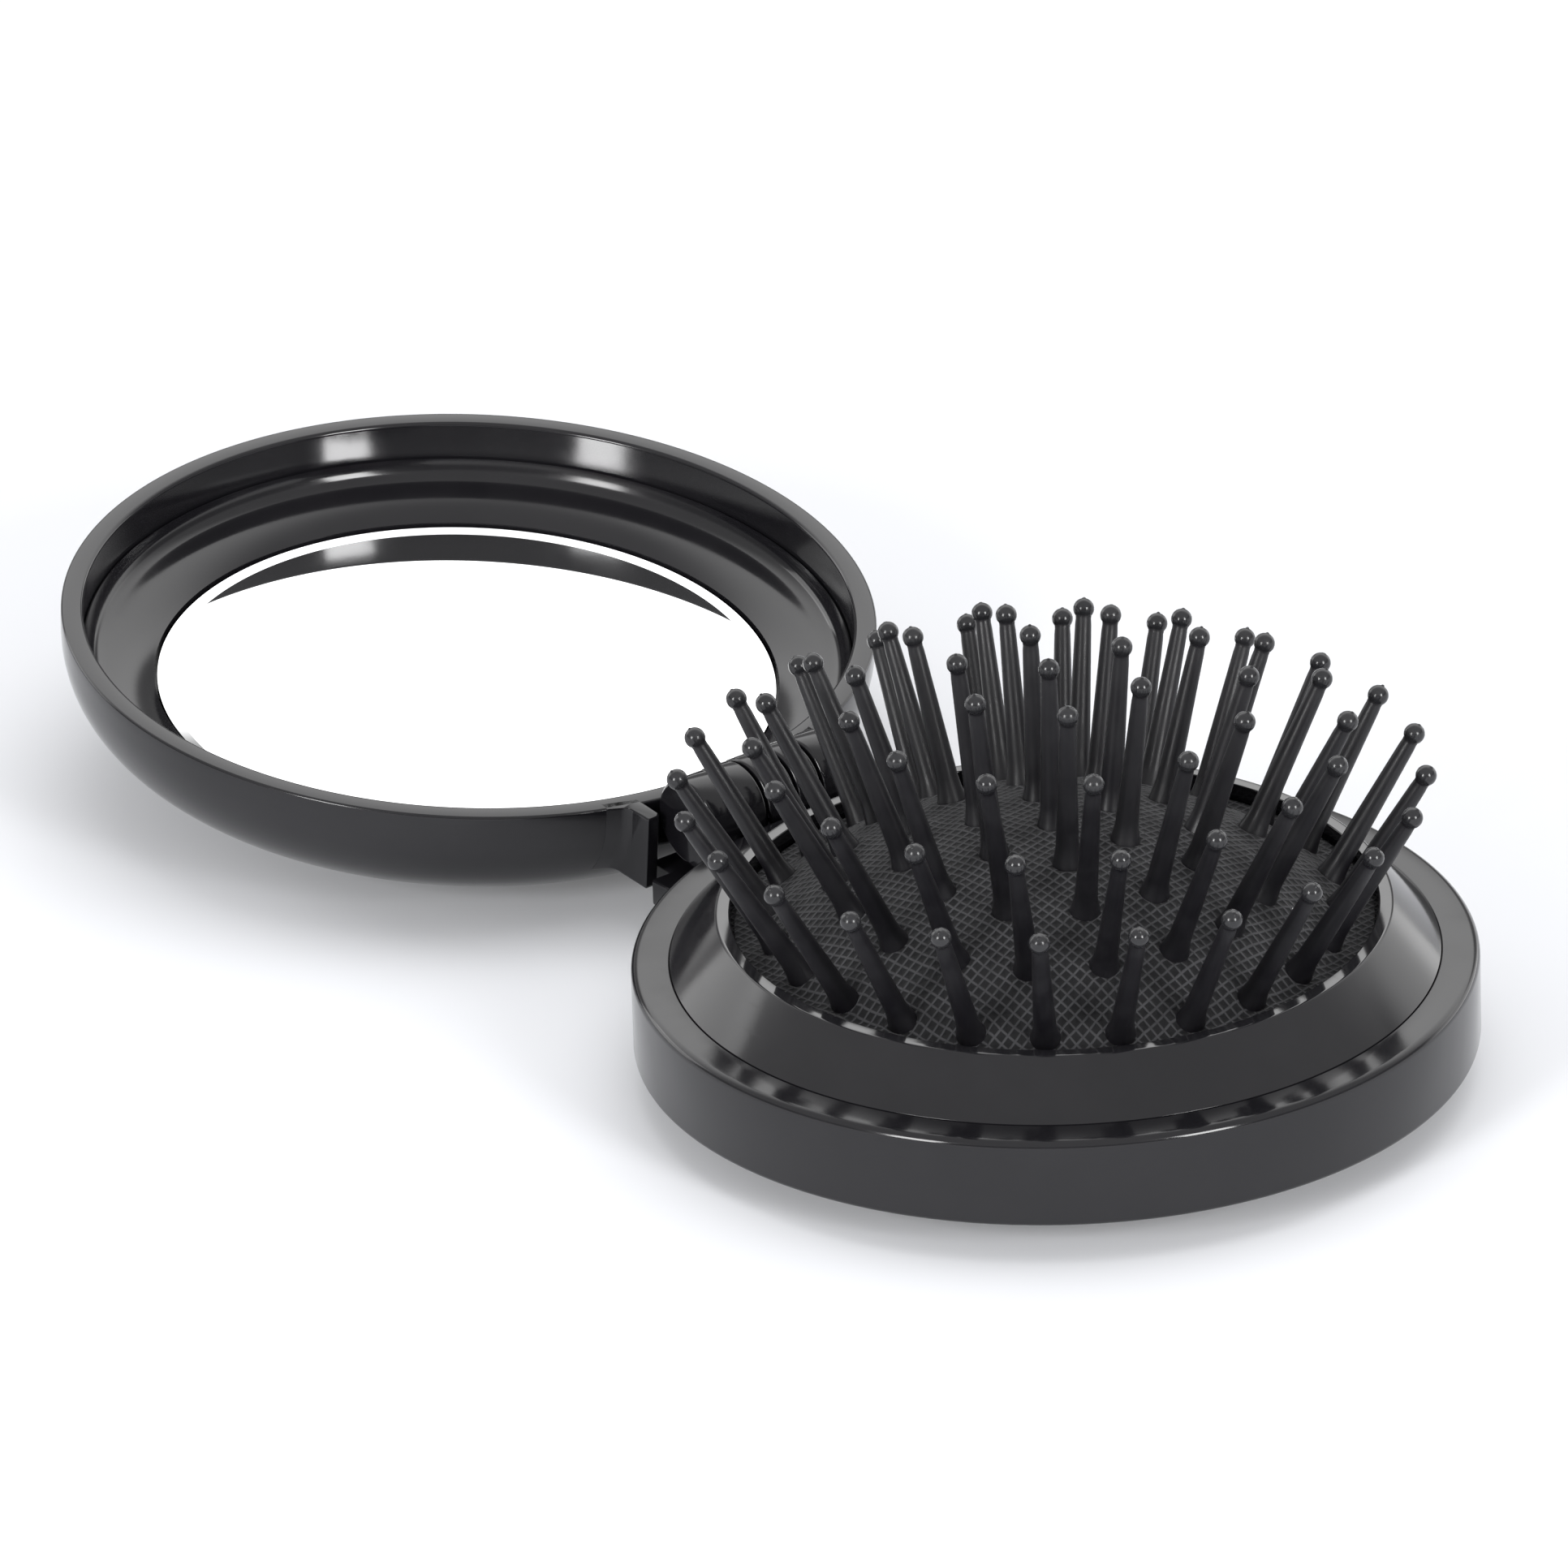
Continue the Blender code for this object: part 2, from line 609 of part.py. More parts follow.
def quarter_curve(outside, bottom):
    """Points of the liner's bowl, from its edge in to the mirror's seat, as (radius, depth)."""
    points = []
    for i in range(LINER_CURVE_POINTS + 1):
        angle = math.pi / 2 * i / LINER_CURVE_POINTS
        across = SEAT_RADIUS + (outside - SEAT_RADIUS) * math.cos(angle)
        points.append((across, LINER_DEPTH + (bottom - LINER_DEPTH) * math.sin(angle)))
    return points


def make_lid_liner(material, frame):
    """The curved ring inside the lid that runs in to the mirror, with the tray under it."""
    outside = RIM_RADIUS - RIM_WIDTH - GAP
    lip = MIRROR_DEPTH - SEAT_LIP
    wall_radius = SEAT_RADIUS + LINER_WALL
    curve = quarter_curve(outside - LINER_EDGE, lip)
    back = [point for point in quarter_curve(outside, lip + LINER_WALL) if point[0] > wall_radius]
    profile = [
        (TRAY_HOLE_RADIUS, TRAY_FLOOR),
        (SEAT_RADIUS, TRAY_FLOOR),
        *reversed(curve),
        *back,
        (wall_radius, lip + LINER_WALL),
        (wall_radius, TRAY_FLOOR),
        (SEAT_RADIUS - LINER_WALL, TRAY_FLOOR + LINER_WALL),
        (TRAY_HOLE_RADIUS, TRAY_FLOOR + LINER_WALL),
    ]
    return lid_piece("lid_liner", profile, material, frame)


def make_mirror(material, frame):
    """Round glass mirror with a ground edge."""
    radius = SEAT_RADIUS - GAP
    profile = [
        (0, MIRROR_DEPTH),
        (radius - MIRROR_BEVEL, MIRROR_DEPTH),
        (radius, MIRROR_DEPTH + MIRROR_BEVEL),
        (radius, MIRROR_DEPTH + MIRROR_THICKNESS),
        (0, MIRROR_DEPTH + MIRROR_THICKNESS),
    ]
    return lid_piece("mirror", profile, material, frame, closed=False)


def make_mirror_pad(material, frame):
    """Adhesive pad between the mirror and its tray."""
    top = MIRROR_DEPTH + MIRROR_THICKNESS + GAP
    profile = [(0, top), (PAD_RADIUS, top), (PAD_RADIUS, top + PAD_THICKNESS), (0, top + PAD_THICKNESS)]
    return lid_piece("mirror_pad", profile, material, frame, closed=False)


def make_hinge_pin(material):
    """Steel pin through the five knuckles."""
    half_length = BARREL_END - GAP
    pin = lying_rod("hinge_pin", HINGE_PIN_RADIUS, -half_length, half_length, HINGE_POINT)
    pin.data.materials.append(material)
    return pin


def main():
    clear_scene()
    gloss_black = make_material("gloss_black_plastic", (0.018, 0.018, 0.021), 0.16)
    pin_black = make_material("pin_black_plastic", (0.012, 0.012, 0.014), 0.30)
    rubber = make_material("cushion_rubber", (0.045, 0.045, 0.048), 0.80)
    silvered = make_material("mirror_glass", (0.90, 0.91, 0.92), 0.02, metallic=1.0)
    steel = make_material("hinge_steel", (0.55, 0.55, 0.56), 0.30, metallic=1.0)
    foam = make_material("pad_foam", (0.75, 0.75, 0.74), 0.90)

    make_base(gloss_black)
    make_collar(gloss_black)
    make_carrier(rubber)
    make_skin(rubber)
    make_middle_root_ring(rubber)
    make_loose_pins("outer", OUTER_COUNT, OUTER_FOOT, OUTER_LEAN, OUTER_START, pin_black)
    make_loose_pins("middle", MIDDLE_COUNT, MIDDLE_FOOT, MIDDLE_LEAN, MIDDLE_START, pin_black)
    make_inner_pins(pin_black)
    make_centre_pins(pin_black)
    make_hinge_pin(steel)

    frame = lid_frame()
    make_lid_shell(gloss_black, frame)
    make_lid_liner(gloss_black, frame)
    make_mirror(silvered, frame)
    make_mirror_pad(foam, frame)


main()
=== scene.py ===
import json
import math

import bmesh
import bpy
import numpy as np
from mathutils import Matrix, Vector


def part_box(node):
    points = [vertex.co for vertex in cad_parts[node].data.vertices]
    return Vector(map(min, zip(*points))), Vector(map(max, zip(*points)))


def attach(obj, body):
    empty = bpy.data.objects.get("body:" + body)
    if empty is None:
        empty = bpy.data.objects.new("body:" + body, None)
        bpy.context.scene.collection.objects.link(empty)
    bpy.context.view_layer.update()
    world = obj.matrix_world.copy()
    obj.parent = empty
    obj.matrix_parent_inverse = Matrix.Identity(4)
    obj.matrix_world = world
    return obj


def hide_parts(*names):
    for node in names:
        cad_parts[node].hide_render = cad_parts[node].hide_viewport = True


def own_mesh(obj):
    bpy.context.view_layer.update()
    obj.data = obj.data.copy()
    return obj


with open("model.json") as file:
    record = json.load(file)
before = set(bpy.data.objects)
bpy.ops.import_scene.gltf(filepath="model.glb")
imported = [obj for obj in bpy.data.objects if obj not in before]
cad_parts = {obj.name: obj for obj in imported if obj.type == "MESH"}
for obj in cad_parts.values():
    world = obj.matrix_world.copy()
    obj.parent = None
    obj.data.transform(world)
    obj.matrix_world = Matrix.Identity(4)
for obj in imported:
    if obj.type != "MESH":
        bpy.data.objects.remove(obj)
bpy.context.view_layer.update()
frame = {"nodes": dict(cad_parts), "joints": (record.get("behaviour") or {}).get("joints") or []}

mm = 0.001
tau = math.tau
hinge = next(joint for joint in frame["joints"] if joint["name"] == "lid_hinge")
hingePoint = Vector(hinge["pos_m"])
collarLow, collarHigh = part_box("collar_ring")
# middle of the brush, level with its ledge, which is just under the hinge's axis
hingeRise = 0.18 * mm
# between the ledge and the lid's rim when the lid is closed
closedGap = 0.3 * mm
ringPlace = Matrix.Translation(((collarLow.x + collarHigh.x) / 2, 0, hingePoint.z - hingeRise))
# middle of the lid's rim: Z points up out of the dish, X to the hinge
lidLean = math.radians(6)
hingeDistance = 39 * mm
lidHinge = Matrix.Translation(hingePoint) @ Matrix.Rotation(lidLean, 4, "Y")
lidPlace = lidHinge @ Matrix.Translation((-hingeDistance, 0, hingeRise - closedGap))


# ways to make a surface

def gridFaces(rows, columns, wrapRows):
    # quads between neighbours of a grid that closes round its columns, and round its rows if asked
    row = np.arange(rows if wrapRows else rows - 1)[:, None]
    column = np.arange(columns)[None, :]
    nextRow = (row + 1) % rows
    nextColumn = (column + 1) % columns
    corners = [
        row * columns + column,
        row * columns + nextColumn,
        nextRow * columns + nextColumn,
        nextRow * columns + column,
    ]
    return np.stack(corners, -1).reshape(-1, 4)


def placed(points, place):
    matrix = np.array(place)
    return np.asarray(points) @ matrix[:3, :3].T + matrix[:3, 3]


def turned(outline, steps, place, wrap=True):
    # (r cos t, r sin t, z) for each point (r, z) of the outline and each angle t of a full turn
    outline = np.asarray(outline, float)
    angle = np.arange(steps) * tau / steps
    points = np.stack(
        [
            outline[:, :1] * np.cos(angle),
            outline[:, :1] * np.sin(angle),
            np.repeat(outline[:, 1:], steps, axis=1),
        ],
        -1,
    )
    return placed(points.reshape(-1, 3), place), gridFaces(len(outline), steps, wrap), []


def rounded(corners, radii, arcPoints, closed=True):
    # each corner becomes an arc of its own radius, tangent to both sides
    corners = np.asarray(corners, float)
    points = []
    for number, (corner, radius) in enumerate(zip(corners, radii)):
        atEnd = not closed and number in (0, len(corners) - 1)
        if radius == 0 or atEnd:
            points.append(corner[None])
            continue
        back = corners[number - 1] - corner
        ahead = corners[(number + 1) % len(corners)] - corner
        backLength, aheadLength = np.linalg.norm(back), np.linalg.norm(ahead)
        back, ahead = back / backLength, ahead / aheadLength
        half = math.acos(np.clip(back @ ahead, -1, 1)) / 2
        reach = min(radius / math.tan(half), 0.48 * backLength, 0.48 * aheadLength)
        radius = reach * math.tan(half)
        middle = (back + ahead) / np.linalg.norm(back + ahead)
        centre = corner + middle * radius / math.sin(half)
        start, end = corner + back * reach - centre, corner + ahead * reach - centre
        turn = math.pi - 2 * half
        share = np.linspace(0, 1, arcPoints)[:, None]
        arc = np.sin((1 - share) * turn) * start + np.sin(share * turn) * end
        points.append(centre + arc / math.sin(turn))
    return np.concatenate(points)


def slab(outline, low, high, edge, place, edgePoints=5):
    # an outline carried from low to high; near both ends it draws in along a quarter circle
    outline = np.asarray(outline, float)
    ahead = np.roll(outline, -1, 0) - outline
    ahead /= np.linalg.norm(ahead, axis=1)[:, None]
    back = np.roll(ahead, 1, 0)
    turnedLeft = np.stack([-(ahead + back)[:, 1], (ahead + back)[:, 0]], -1)
    length = np.linalg.norm(turnedLeft, axis=1)[:, None]
    inward = 2 * turnedLeft / length**2  # mitred, so that every side moves in alike
    angle = np.linspace(0, math.pi / 2, edgePoints)
    draw = edge * (1 - np.sin(angle))
    rise = edge * (1 - np.cos(angle))
    inset = np.concatenate([draw, draw[::-1]])
    height = np.concatenate([low + rise, high - rise[::-1]])
    flat = outline[None] + inward[None] * inset[:, None, None]
    heights = np.broadcast_to(height[:, None, None], (*flat.shape[:2], 1))
    points = np.concatenate([flat, heights], -1).reshape(-1, 3)
    count = len(outline)
    caps = [list(range(count))[::-1], list(range(len(points) - count, len(points)))]
    return placed(points, place), gridFaces(len(height), count, False), caps


def meshObject(name, parts, material, sharp=40):
    # the parts' points and faces become one mesh, with seams and poles merged and faces outwards
    points = np.concatenate([part[0] for part in parts])
    faces, start = [], 0
    for partPoints, quads, caps in parts:
        faces += (quads + start).tolist()
        faces += [[index + start for index in cap] for cap in caps]
        start += len(partPoints)
    sizes = np.array([len(face) for face in faces])
    corners = np.concatenate([np.array(face) for face in faces])
    mesh = bpy.data.meshes.new(name)
    mesh.vertices.add(len(points))
    mesh.vertices.foreach_set("co", points.astype(np.float32).ravel())
    mesh.loops.add(len(corners))
    mesh.loops.foreach_set("vertex_index", corners.astype(np.int32))
    mesh.polygons.add(len(faces))
    mesh.polygons.foreach_set("loop_start", (np.cumsum(sizes) - sizes).astype(np.int32))
    mesh.update(calc_edges=True)
    surface = bmesh.new()
    surface.from_mesh(mesh)
    bmesh.ops.remove_doubles(surface, verts=surface.verts, dist=0.0000005)
    bmesh.ops.recalc_face_normals(surface, faces=surface.faces)
    surface.to_mesh(mesh)
    surface.free()
    mesh.shade_smooth()
    # the flat end caps, which have more than four corners, stay flat beside their rounded edges
    cornerCounts = np.zeros(len(mesh.polygons), np.int32)
    mesh.polygons.foreach_get("loop_total", cornerCounts)
    mesh.polygons.foreach_set("use_smooth", cornerCounts <= 4)
    mesh.set_sharp_from_angle(angle=math.radians(sharp))
    mesh.materials.append(material)
    piece = bpy.data.objects.new(name, mesh)
    bpy.context.scene.collection.objects.link(piece)
    return piece


def finishPiece(piece, body, slot, *nodes):
    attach(piece, body)
    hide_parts(*nodes)


# shared effects, as node groups

def newGroup(name, inputs, outputs):
    group = bpy.data.node_groups.new(name, "ShaderNodeTree")
    for label, kind, value in inputs:
        socket = group.interface.new_socket(label, in_out="INPUT", socket_type=kind)
        if value is not None:
            socket.default_value = value
    for label, kind in outputs:
        group.interface.new_socket(label, in_out="OUTPUT", socket_type=kind)
    return group, group.nodes.new("NodeGroupInput"), group.nodes.new("NodeGroupOutput")


def feed(tree, value, socket):
    # a number or a colour is set on the socket, another node's output is linked to it
    if isinstance(value, (int, float)):
        socket.default_value = value
    elif isinstance(value, tuple):
        socket.default_value = (*value, 1)
    else:
        tree.links.new(value, socket)


def mathNode(tree, operation, *values):
    node = tree.nodes.new("ShaderNodeMath")
    node.operation = operation
    for socket, value in zip(node.inputs, values):
        feed(tree, value, socket)
    return node.outputs[0]


def facingNode(tree, direction, towards):
    # the cosine of the angle between two directions
    node = tree.nodes.new("ShaderNodeVectorMath")
    node.operation = "DOT_PRODUCT"
    tree.links.new(direction, node.inputs[0])
    node.inputs[1].default_value = towards
    return node.outputs["Value"]


def seenNode(tree):
    # 1 for the rays that show a surface, 0 for those that only carry light to one
    path = tree.nodes.new("ShaderNodeLightPath")
    seen = mathNode(tree, "MAXIMUM", path.outputs["Is Camera Ray"], path.outputs["Is Glossy Ray"])
    return mathNode(tree, "MAXIMUM", seen, path.outputs["Is Transmission Ray"]), path


def rangeNode(tree, value, fromLow, fromHigh, toLow, toHigh):
    node = tree.nodes.new("ShaderNodeMapRange")
    node.interpolation_type = "SMOOTHSTEP"
    labels = ("Value", "From Min", "From Max", "To Min", "To Max")
    for label, number in zip(labels, (value, fromLow, fromHigh, toLow, toHigh)):
        feed(tree, number, node.inputs[label])
    return node.outputs["Result"]


def noiseNode(tree, vector, scale, detail, roughness):
    node = tree.nodes.new("ShaderNodeTexNoise")
    tree.links.new(vector, node.inputs["Vector"])
    feed(tree, scale, node.inputs["Scale"])
    node.inputs["Detail"].default_value = detail
    node.inputs["Roughness"].default_value = roughness
    return node.outputs["Fac"]


def makeHandledGroup():
    # smudges and fine hair scratches of a plastic that has been handled
    group, inside, out = newGroup(
        "handledPlastic",
        [("Vector", "NodeSocketVector", None), ("Smudge Scale", "NodeSocketFloat", 90.0),
         ("Grain Scale", "NodeSocketFloat", 2500.0)],
        [("Smudge", "NodeSocketFloat"), ("Grain", "NodeSocketFloat"), ("Scratch", "NodeSocketFloat")],
    )
    vector = inside.outputs["Vector"]
    smudge = noiseNode(group, vector, inside.outputs["Smudge Scale"], 4.0, 0.6)
    group.links.new(rangeNode(group, smudge, 0.35, 0.7, 0.0, 1.0), out.inputs["Smudge"])
    grain = noiseNode(group, vector, inside.outputs["Grain Scale"], 2.0, 0.5)
    group.links.new(grain, out.inputs["Grain"])
    stretch = group.nodes.new("ShaderNodeMapping")
    stretch.inputs["Rotation"].default_value = (0.3, 0.2, 0.9)
    stretch.inputs["Scale"].default_value = (60.0, 2600.0, 2600.0)
    group.links.new(vector, stretch.inputs["Vector"])
    hair = noiseNode(group, stretch.outputs["Vector"], 1.0, 1.0, 0.4)
    group.links.new(rangeNode(group, hair, 0.70, 0.80, 0.0, 1.0), out.inputs["Scratch"])
    return group


def makeDustGroup():
    # scattered specks: the cells of a voronoi whose random value passes the density
    group, inside, out = newGroup(
        "dustSpecks",
        [("Vector", "NodeSocketVector", None), ("Scale", "NodeSocketFloat", 700.0),
         ("Density", "NodeSocketFloat", 0.03), ("Size", "NodeSocketFloat", 0.14)],
        [("Speck", "NodeSocketFloat")],
    )
    cell = group.nodes.new("ShaderNodeTexVoronoi")
    group.links.new(inside.outputs["Vector"], cell.inputs["Vector"])
    group.links.new(inside.outputs["Scale"], cell.inputs["Scale"])
    pick = group.nodes.new("ShaderNodeTexWhiteNoise")
    group.links.new(cell.outputs["Position"], pick.inputs["Vector"])
    chosen = mathNode(group, "LESS_THAN", pick.outputs["Value"], inside.outputs["Density"])
    near = mathNode(group, "LESS_THAN", cell.outputs["Distance"], inside.outputs["Size"])
    group.links.new(mathNode(group, "MULTIPLY", chosen, near), out.inputs["Speck"])
    return group


def makeWeaveGroup():
    # a net of threads where |sin(pi x / pitch)| or |sin(pi y / pitch)| is small, with a pit in each mesh;
    # the Pit mask is used to paint shade into the pits
    group, inside, out = newGroup(
        "wovenGrid",
        [("Vector", "NodeSocketVector", None), ("Pitch", "NodeSocketFloat", 0.00055)],
        [("Pit", "NodeSocketFloat"), ("Height", "NodeSocketFloat")],
    )
    parts = group.nodes.new("ShaderNodeSeparateXYZ")
    group.links.new(inside.outputs["Vector"], parts.inputs["Vector"])
    waves = []
    for axis in ("X", "Y"):
        turns = mathNode(group, "DIVIDE", parts.outputs[axis], inside.outputs["Pitch"])
        wave = mathNode(group, "SINE", mathNode(group, "MULTIPLY", turns, math.pi))
        waves.append(mathNode(group, "ABSOLUTE", wave))
    hollow = mathNode(group, "MINIMUM", waves[0], waves[1])
    pit = rangeNode(group, hollow, 0.2, 0.5, 0.0, 1.0)
    group.links.new(pit, out.inputs["Pit"])
    group.links.new(mathNode(group, "MULTIPLY", hollow, -1.0), out.inputs["Height"])
    return group


handledPlastic = makeHandledGroup()
dustSpecks = makeDustGroup()
wovenGrid = makeWeaveGroup()
print("node groups made")


def startMaterial(name):
    material = bpy.data.materials.new(name)
    material.use_nodes = True
    tree = material.node_tree
    shader = tree.nodes["Principled BSDF"]
    coordinates = tree.nodes.new("ShaderNodeTexCoord")
    return material, tree, shader, coordinates.outputs["Object"]


def groupNode(tree, group, vector, **values):
    node = tree.nodes.new("ShaderNodeGroup")
    node.node_tree = group
    tree.links.new(vector, node.inputs["Vector"])
    for label, value in values.items():
        node.inputs[label.replace("_", " ")].default_value = value
    return node.outputs


def mixColour(tree, mask, first, second):
    node = tree.nodes.new("ShaderNodeMix")
    node.data_type = "RGBA"
    tree.links.new(mask, node.inputs["Factor"])
    colourInputs = [socket for socket in node.inputs if socket.type == "RGBA"]
    for socket, colour in zip(colourInputs, (first, second)):
        feed(tree, colour, socket)
    return next(socket for socket in node.outputs if socket.type == "RGBA")


def bumpNode(tree, shader, height, strength, distance):
    node = tree.nodes.new("ShaderNodeBump")
    node.inputs["Strength"].default_value = strength
    node.inputs["Distance"].default_value = distance
    tree.links.new(height, node.inputs["Height"])
    tree.links.new(node.outputs["Normal"], shader.inputs["Normal"])


def makePlastic(name, look):
    material, tree, shader, vector = startMaterial(name)
    handled = groupNode(
        tree, handledPlastic, vector, Smudge_Scale=look["smudgeScale"], Grain_Scale=look["grainScale"]
    )
    dust = groupNode(tree, dustSpecks, vector, Scale=look["dustScale"], Density=look["dustDensity"])
    tinted = mixColour(tree, handled["Smudge"], look["colour"], look["smudgeColour"])
    tree.links.new(mixColour(tree, dust["Speck"], tinted, look["dustColour"]), shader.inputs["Base Color"])
    polish = rangeNode(tree, handled["Smudge"], 0.0, 1.0, look["roughness"], look["smudgeRoughness"])
    scuffed = mathNode(tree, "MULTIPLY_ADD", handled["Scratch"], look["scratch"], polish)
    tree.links.new(scuffed, shader.inputs["Roughness"])
    shader.inputs["IOR"].default_value = look["ior"]
    bumpNode(tree, shader, handled["Grain"], look["grainStrength"], look["grainDepth"])
    return material


glossLook = {
    "colour": (0.0075, 0.0072, 0.0088),
    "smudgeColour": (0.0105, 0.0100, 0.0118),
    "dustColour": (0.20, 0.20, 0.21),
    "roughness": 0.10,
    "smudgeRoughness": 0.17,
    "scratch": 0.04,
    "ior": 1.48,
    "smudgeScale": 60.0,
    "grainScale": 1500.0,
    "grainStrength": 0.03,
    "grainDepth": 0.00004,
    "dustScale": 600.0,
    "dustDensity": 0.0025,
}
pinLook = {
    "colour": (0.0060, 0.0055, 0.0075),
    "smudgeColour": (0.0085, 0.0080, 0.0100),
    "dustColour": (0.15, 0.15, 0.16),
    "roughness": 0.38,
    "smudgeRoughness": 0.48,
    "scratch": 0.0,
    "ior": 1.48,
    "smudgeScale": 300.0,
    "grainScale": 3000.0,
    "grainStrength": 0.01,
    "grainDepth": 0.00002,
    "dustScale": 900.0,
    "dustDensity": 0.0015,
}
glossBlack = makePlastic("glossBlackShell", glossLook)
pinBlack = makePlastic("satinBlackPins", pinLook)
# painted reflection: the balls' lighter colour stands in for the room reflected on their tops, while their
# lower roughness is the real gloss
ballGlossPaintedLightLook = dict(
    pinLook, colour=(0.016, 0.016, 0.018), smudgeColour=(0.022, 0.022, 0.024), roughness=0.16,
    smudgeRoughness=0.24,
)
ballBlackPaintedLight = makePlastic("glossBlackBallsPaintedLight", ballGlossPaintedLightLook)
rimLook = dict(glossLook, roughness=0.07, smudgeRoughness=0.12, ior=1.9)
rimBlack = makePlastic("polishedBlackRim", rimLook)


def makeWovenRubber(look):
    material, tree, shader, vector = startMaterial("wovenCushionRubber")
    turn = tree.nodes.new("ShaderNodeMapping")
    turn.inputs["Rotation"].default_value = (0, 0, math.radians(look["turn"]))
    tree.links.new(vector, turn.inputs["Vector"])
    weave = groupNode(tree, wovenGrid, turn.outputs["Vector"], Pitch=look["pitch"])
    patch = noiseNode(tree, vector, look["patchScale"], 3.0, 0.6)
    dust = groupNode(
        tree, dustSpecks, vector, Scale=look["dustScale"], Density=look["dustDensity"], Size=look["dustSize"]
    )
    faded = rangeNode(tree, patch, 0.3, 0.7, 0.0, 1.0)
    thread = mixColour(tree, faded, look["colour"], look["paleColour"])
    # painted shade: the pits between the threads take a darker colour than the threads
    pitShaded = mixColour(tree, weave["Pit"], thread, look["pitShadeColour"])
    tree.links.new(mixColour(tree, dust["Speck"], pitShaded, look["dustColour"]), shader.inputs["Base Color"])
    shader.inputs["Roughness"].default_value = look["roughness"]
    shader.inputs["Sheen Weight"].default_value = look["sheen"]
    shader.inputs["Specular IOR Level"].default_value = look["specular"]
    bumpNode(tree, shader, weave["Height"], look["strength"], look["depth"])
    return material


wovenLook = {
    "colour": (0.040, 0.040, 0.043),
    "paleColour": (0.058, 0.058, 0.062),
    # painted shade in the weave's pits
    "pitShadeColour": (0.007, 0.007, 0.008),
    "dustColour": (0.55, 0.55, 0.55),
    "roughness": 0.7,
    "specular": 0.22,
    "sheen": 0.06,
    "pitch": 0.00078,
    "turn": 83,
    "patchScale": 400.0,
    "strength": 0.8,
    "depth": 0.00018,
    "dustScale": 600.0,
    "dustDensity": 0.010,
    "dustSize": 0.16,
}
wovenRubber = makeWovenRubber(wovenLook)


def makeMirrorGlass(look):
    material, tree, shader, vector = startMaterial("silveredMirror")
    shader.inputs["Metallic"].default_value = 1.0
    haze = noiseNode(tree, vector, look["hazeScale"], 4.0, 0.6)
    misted = rangeNode(tree, haze, 0.35, 0.75, 0.0, 1.0)
    tree.links.new(mixColour(tree, misted, look["colour"], look["hazeColour"]), shader.inputs["Base Color"])
    dulled = rangeNode(tree, haze, 0.45, 0.8, look["roughness"], look["hazeRoughness"])
    tree.links.new(dulled, shader.inputs["Roughness"])
    return material


mirrorLook = {
    "colour": (0.93, 0.935, 0.94),
    "hazeColour": (0.91, 0.915, 0.92),
    "roughness": 0.008,
    "hazeRoughness": 0.02,
    "hazeScale": 60.0,
}
mirrorGlass = makeMirrorGlass(mirrorLook)


def makeMetal(name, look):
    material, tree, shader, vector = startMaterial(name)
    shader.inputs["Metallic"].default_value = 1.0
    handled = groupNode(
        tree, handledPlastic, vector, Smudge_Scale=look["smudgeScale"], Grain_Scale=look["grainScale"]
    )
    smudge = handled["Smudge"]
    tree.links.new(mixColour(tree, smudge, look["colour"], look["darkColour"]), shader.inputs["Base Color"])
    dulled = rangeNode(tree, smudge, 0.0, 1.0, look["roughness"], look["dullRoughness"])
    tree.links.new(dulled, shader.inputs["Roughness"])
    bumpNode(tree, shader, handled["Grain"], look["grainStrength"], look["grainDepth"])
    return material


steelLook = {
    "colour": (0.58, 0.58, 0.59),
    "darkColour": (0.42, 0.42, 0.43),
    "roughness": 0.25,
    "dullRoughness": 0.4,
    "smudgeScale": 500.0,
    "grainScale": 4000.0,
    "grainStrength": 0.1,
    "grainDepth": 0.00002,
}
hingeSteel = makeMetal("drawnSteel", steelLook)
foamLook = dict(
    pinLook, colour=(0.72, 0.72, 0.70), smudgeColour=(0.62, 0.62, 0.60), roughness=0.9, smudgeRoughness=0.95,
    grainScale=1800.0, grainStrength=0.6, grainDepth=0.0002,
)
padFoam = makePlastic("foamTape", foamLook)
print("materials made")


# brush ring

# sizes in millimetres, heights from the ledge or the lid's rim, unless a name says otherwise
ringShape = {
    "ledgeRadius": 35.0,
    "bandHeight": 7.6,
    "footTop": 33.8,
    "footEnd": (29.05, -10.35),
    "tread": 27.7,
    "floor": -11.0,
    "lip": (26.6, 0.65),
    "bore": 28.4,
    "rebate": (31.82, -2.2),
    "rounding": (0.15, 0.7, 0.45, 0.2, 0.3, 0.2, 0.2, 0.2, 0.1, 0.2, 0.1),
    "arcPoints": 9,
    "steps": 288,
}


def makeRing():
    shape = ringShape
    corners = [
        (shape["rebate"][0], 0),
        (shape["ledgeRadius"], 0),
        (shape["ledgeRadius"], -shape["bandHeight"]),
        (shape["footTop"], -shape["bandHeight"]),
        shape["footEnd"],
        (shape["tread"], shape["floor"]),
        (shape["lip"][0], shape["floor"]),
        (shape["lip"][0], shape["floor"] + shape["lip"][1]),
        (shape["bore"], shape["floor"] + shape["lip"][1]),
        (shape["bore"], shape["rebate"][1]),
        (shape["rebate"][0], shape["rebate"][1]),
    ]
    outline = rounded(corners, shape["rounding"], shape["arcPoints"]) * mm
    return turned(outline, shape["steps"], ringPlace)


knuckleShape = {
    "radius": 3.8,
    "length": 3.0,
    "gap": 0.3,
    "edge": 0.25,
    "webHeight": 4.8,
    "webTop": 0.9,
    "reach": 4.6,
    "points": 40,
}


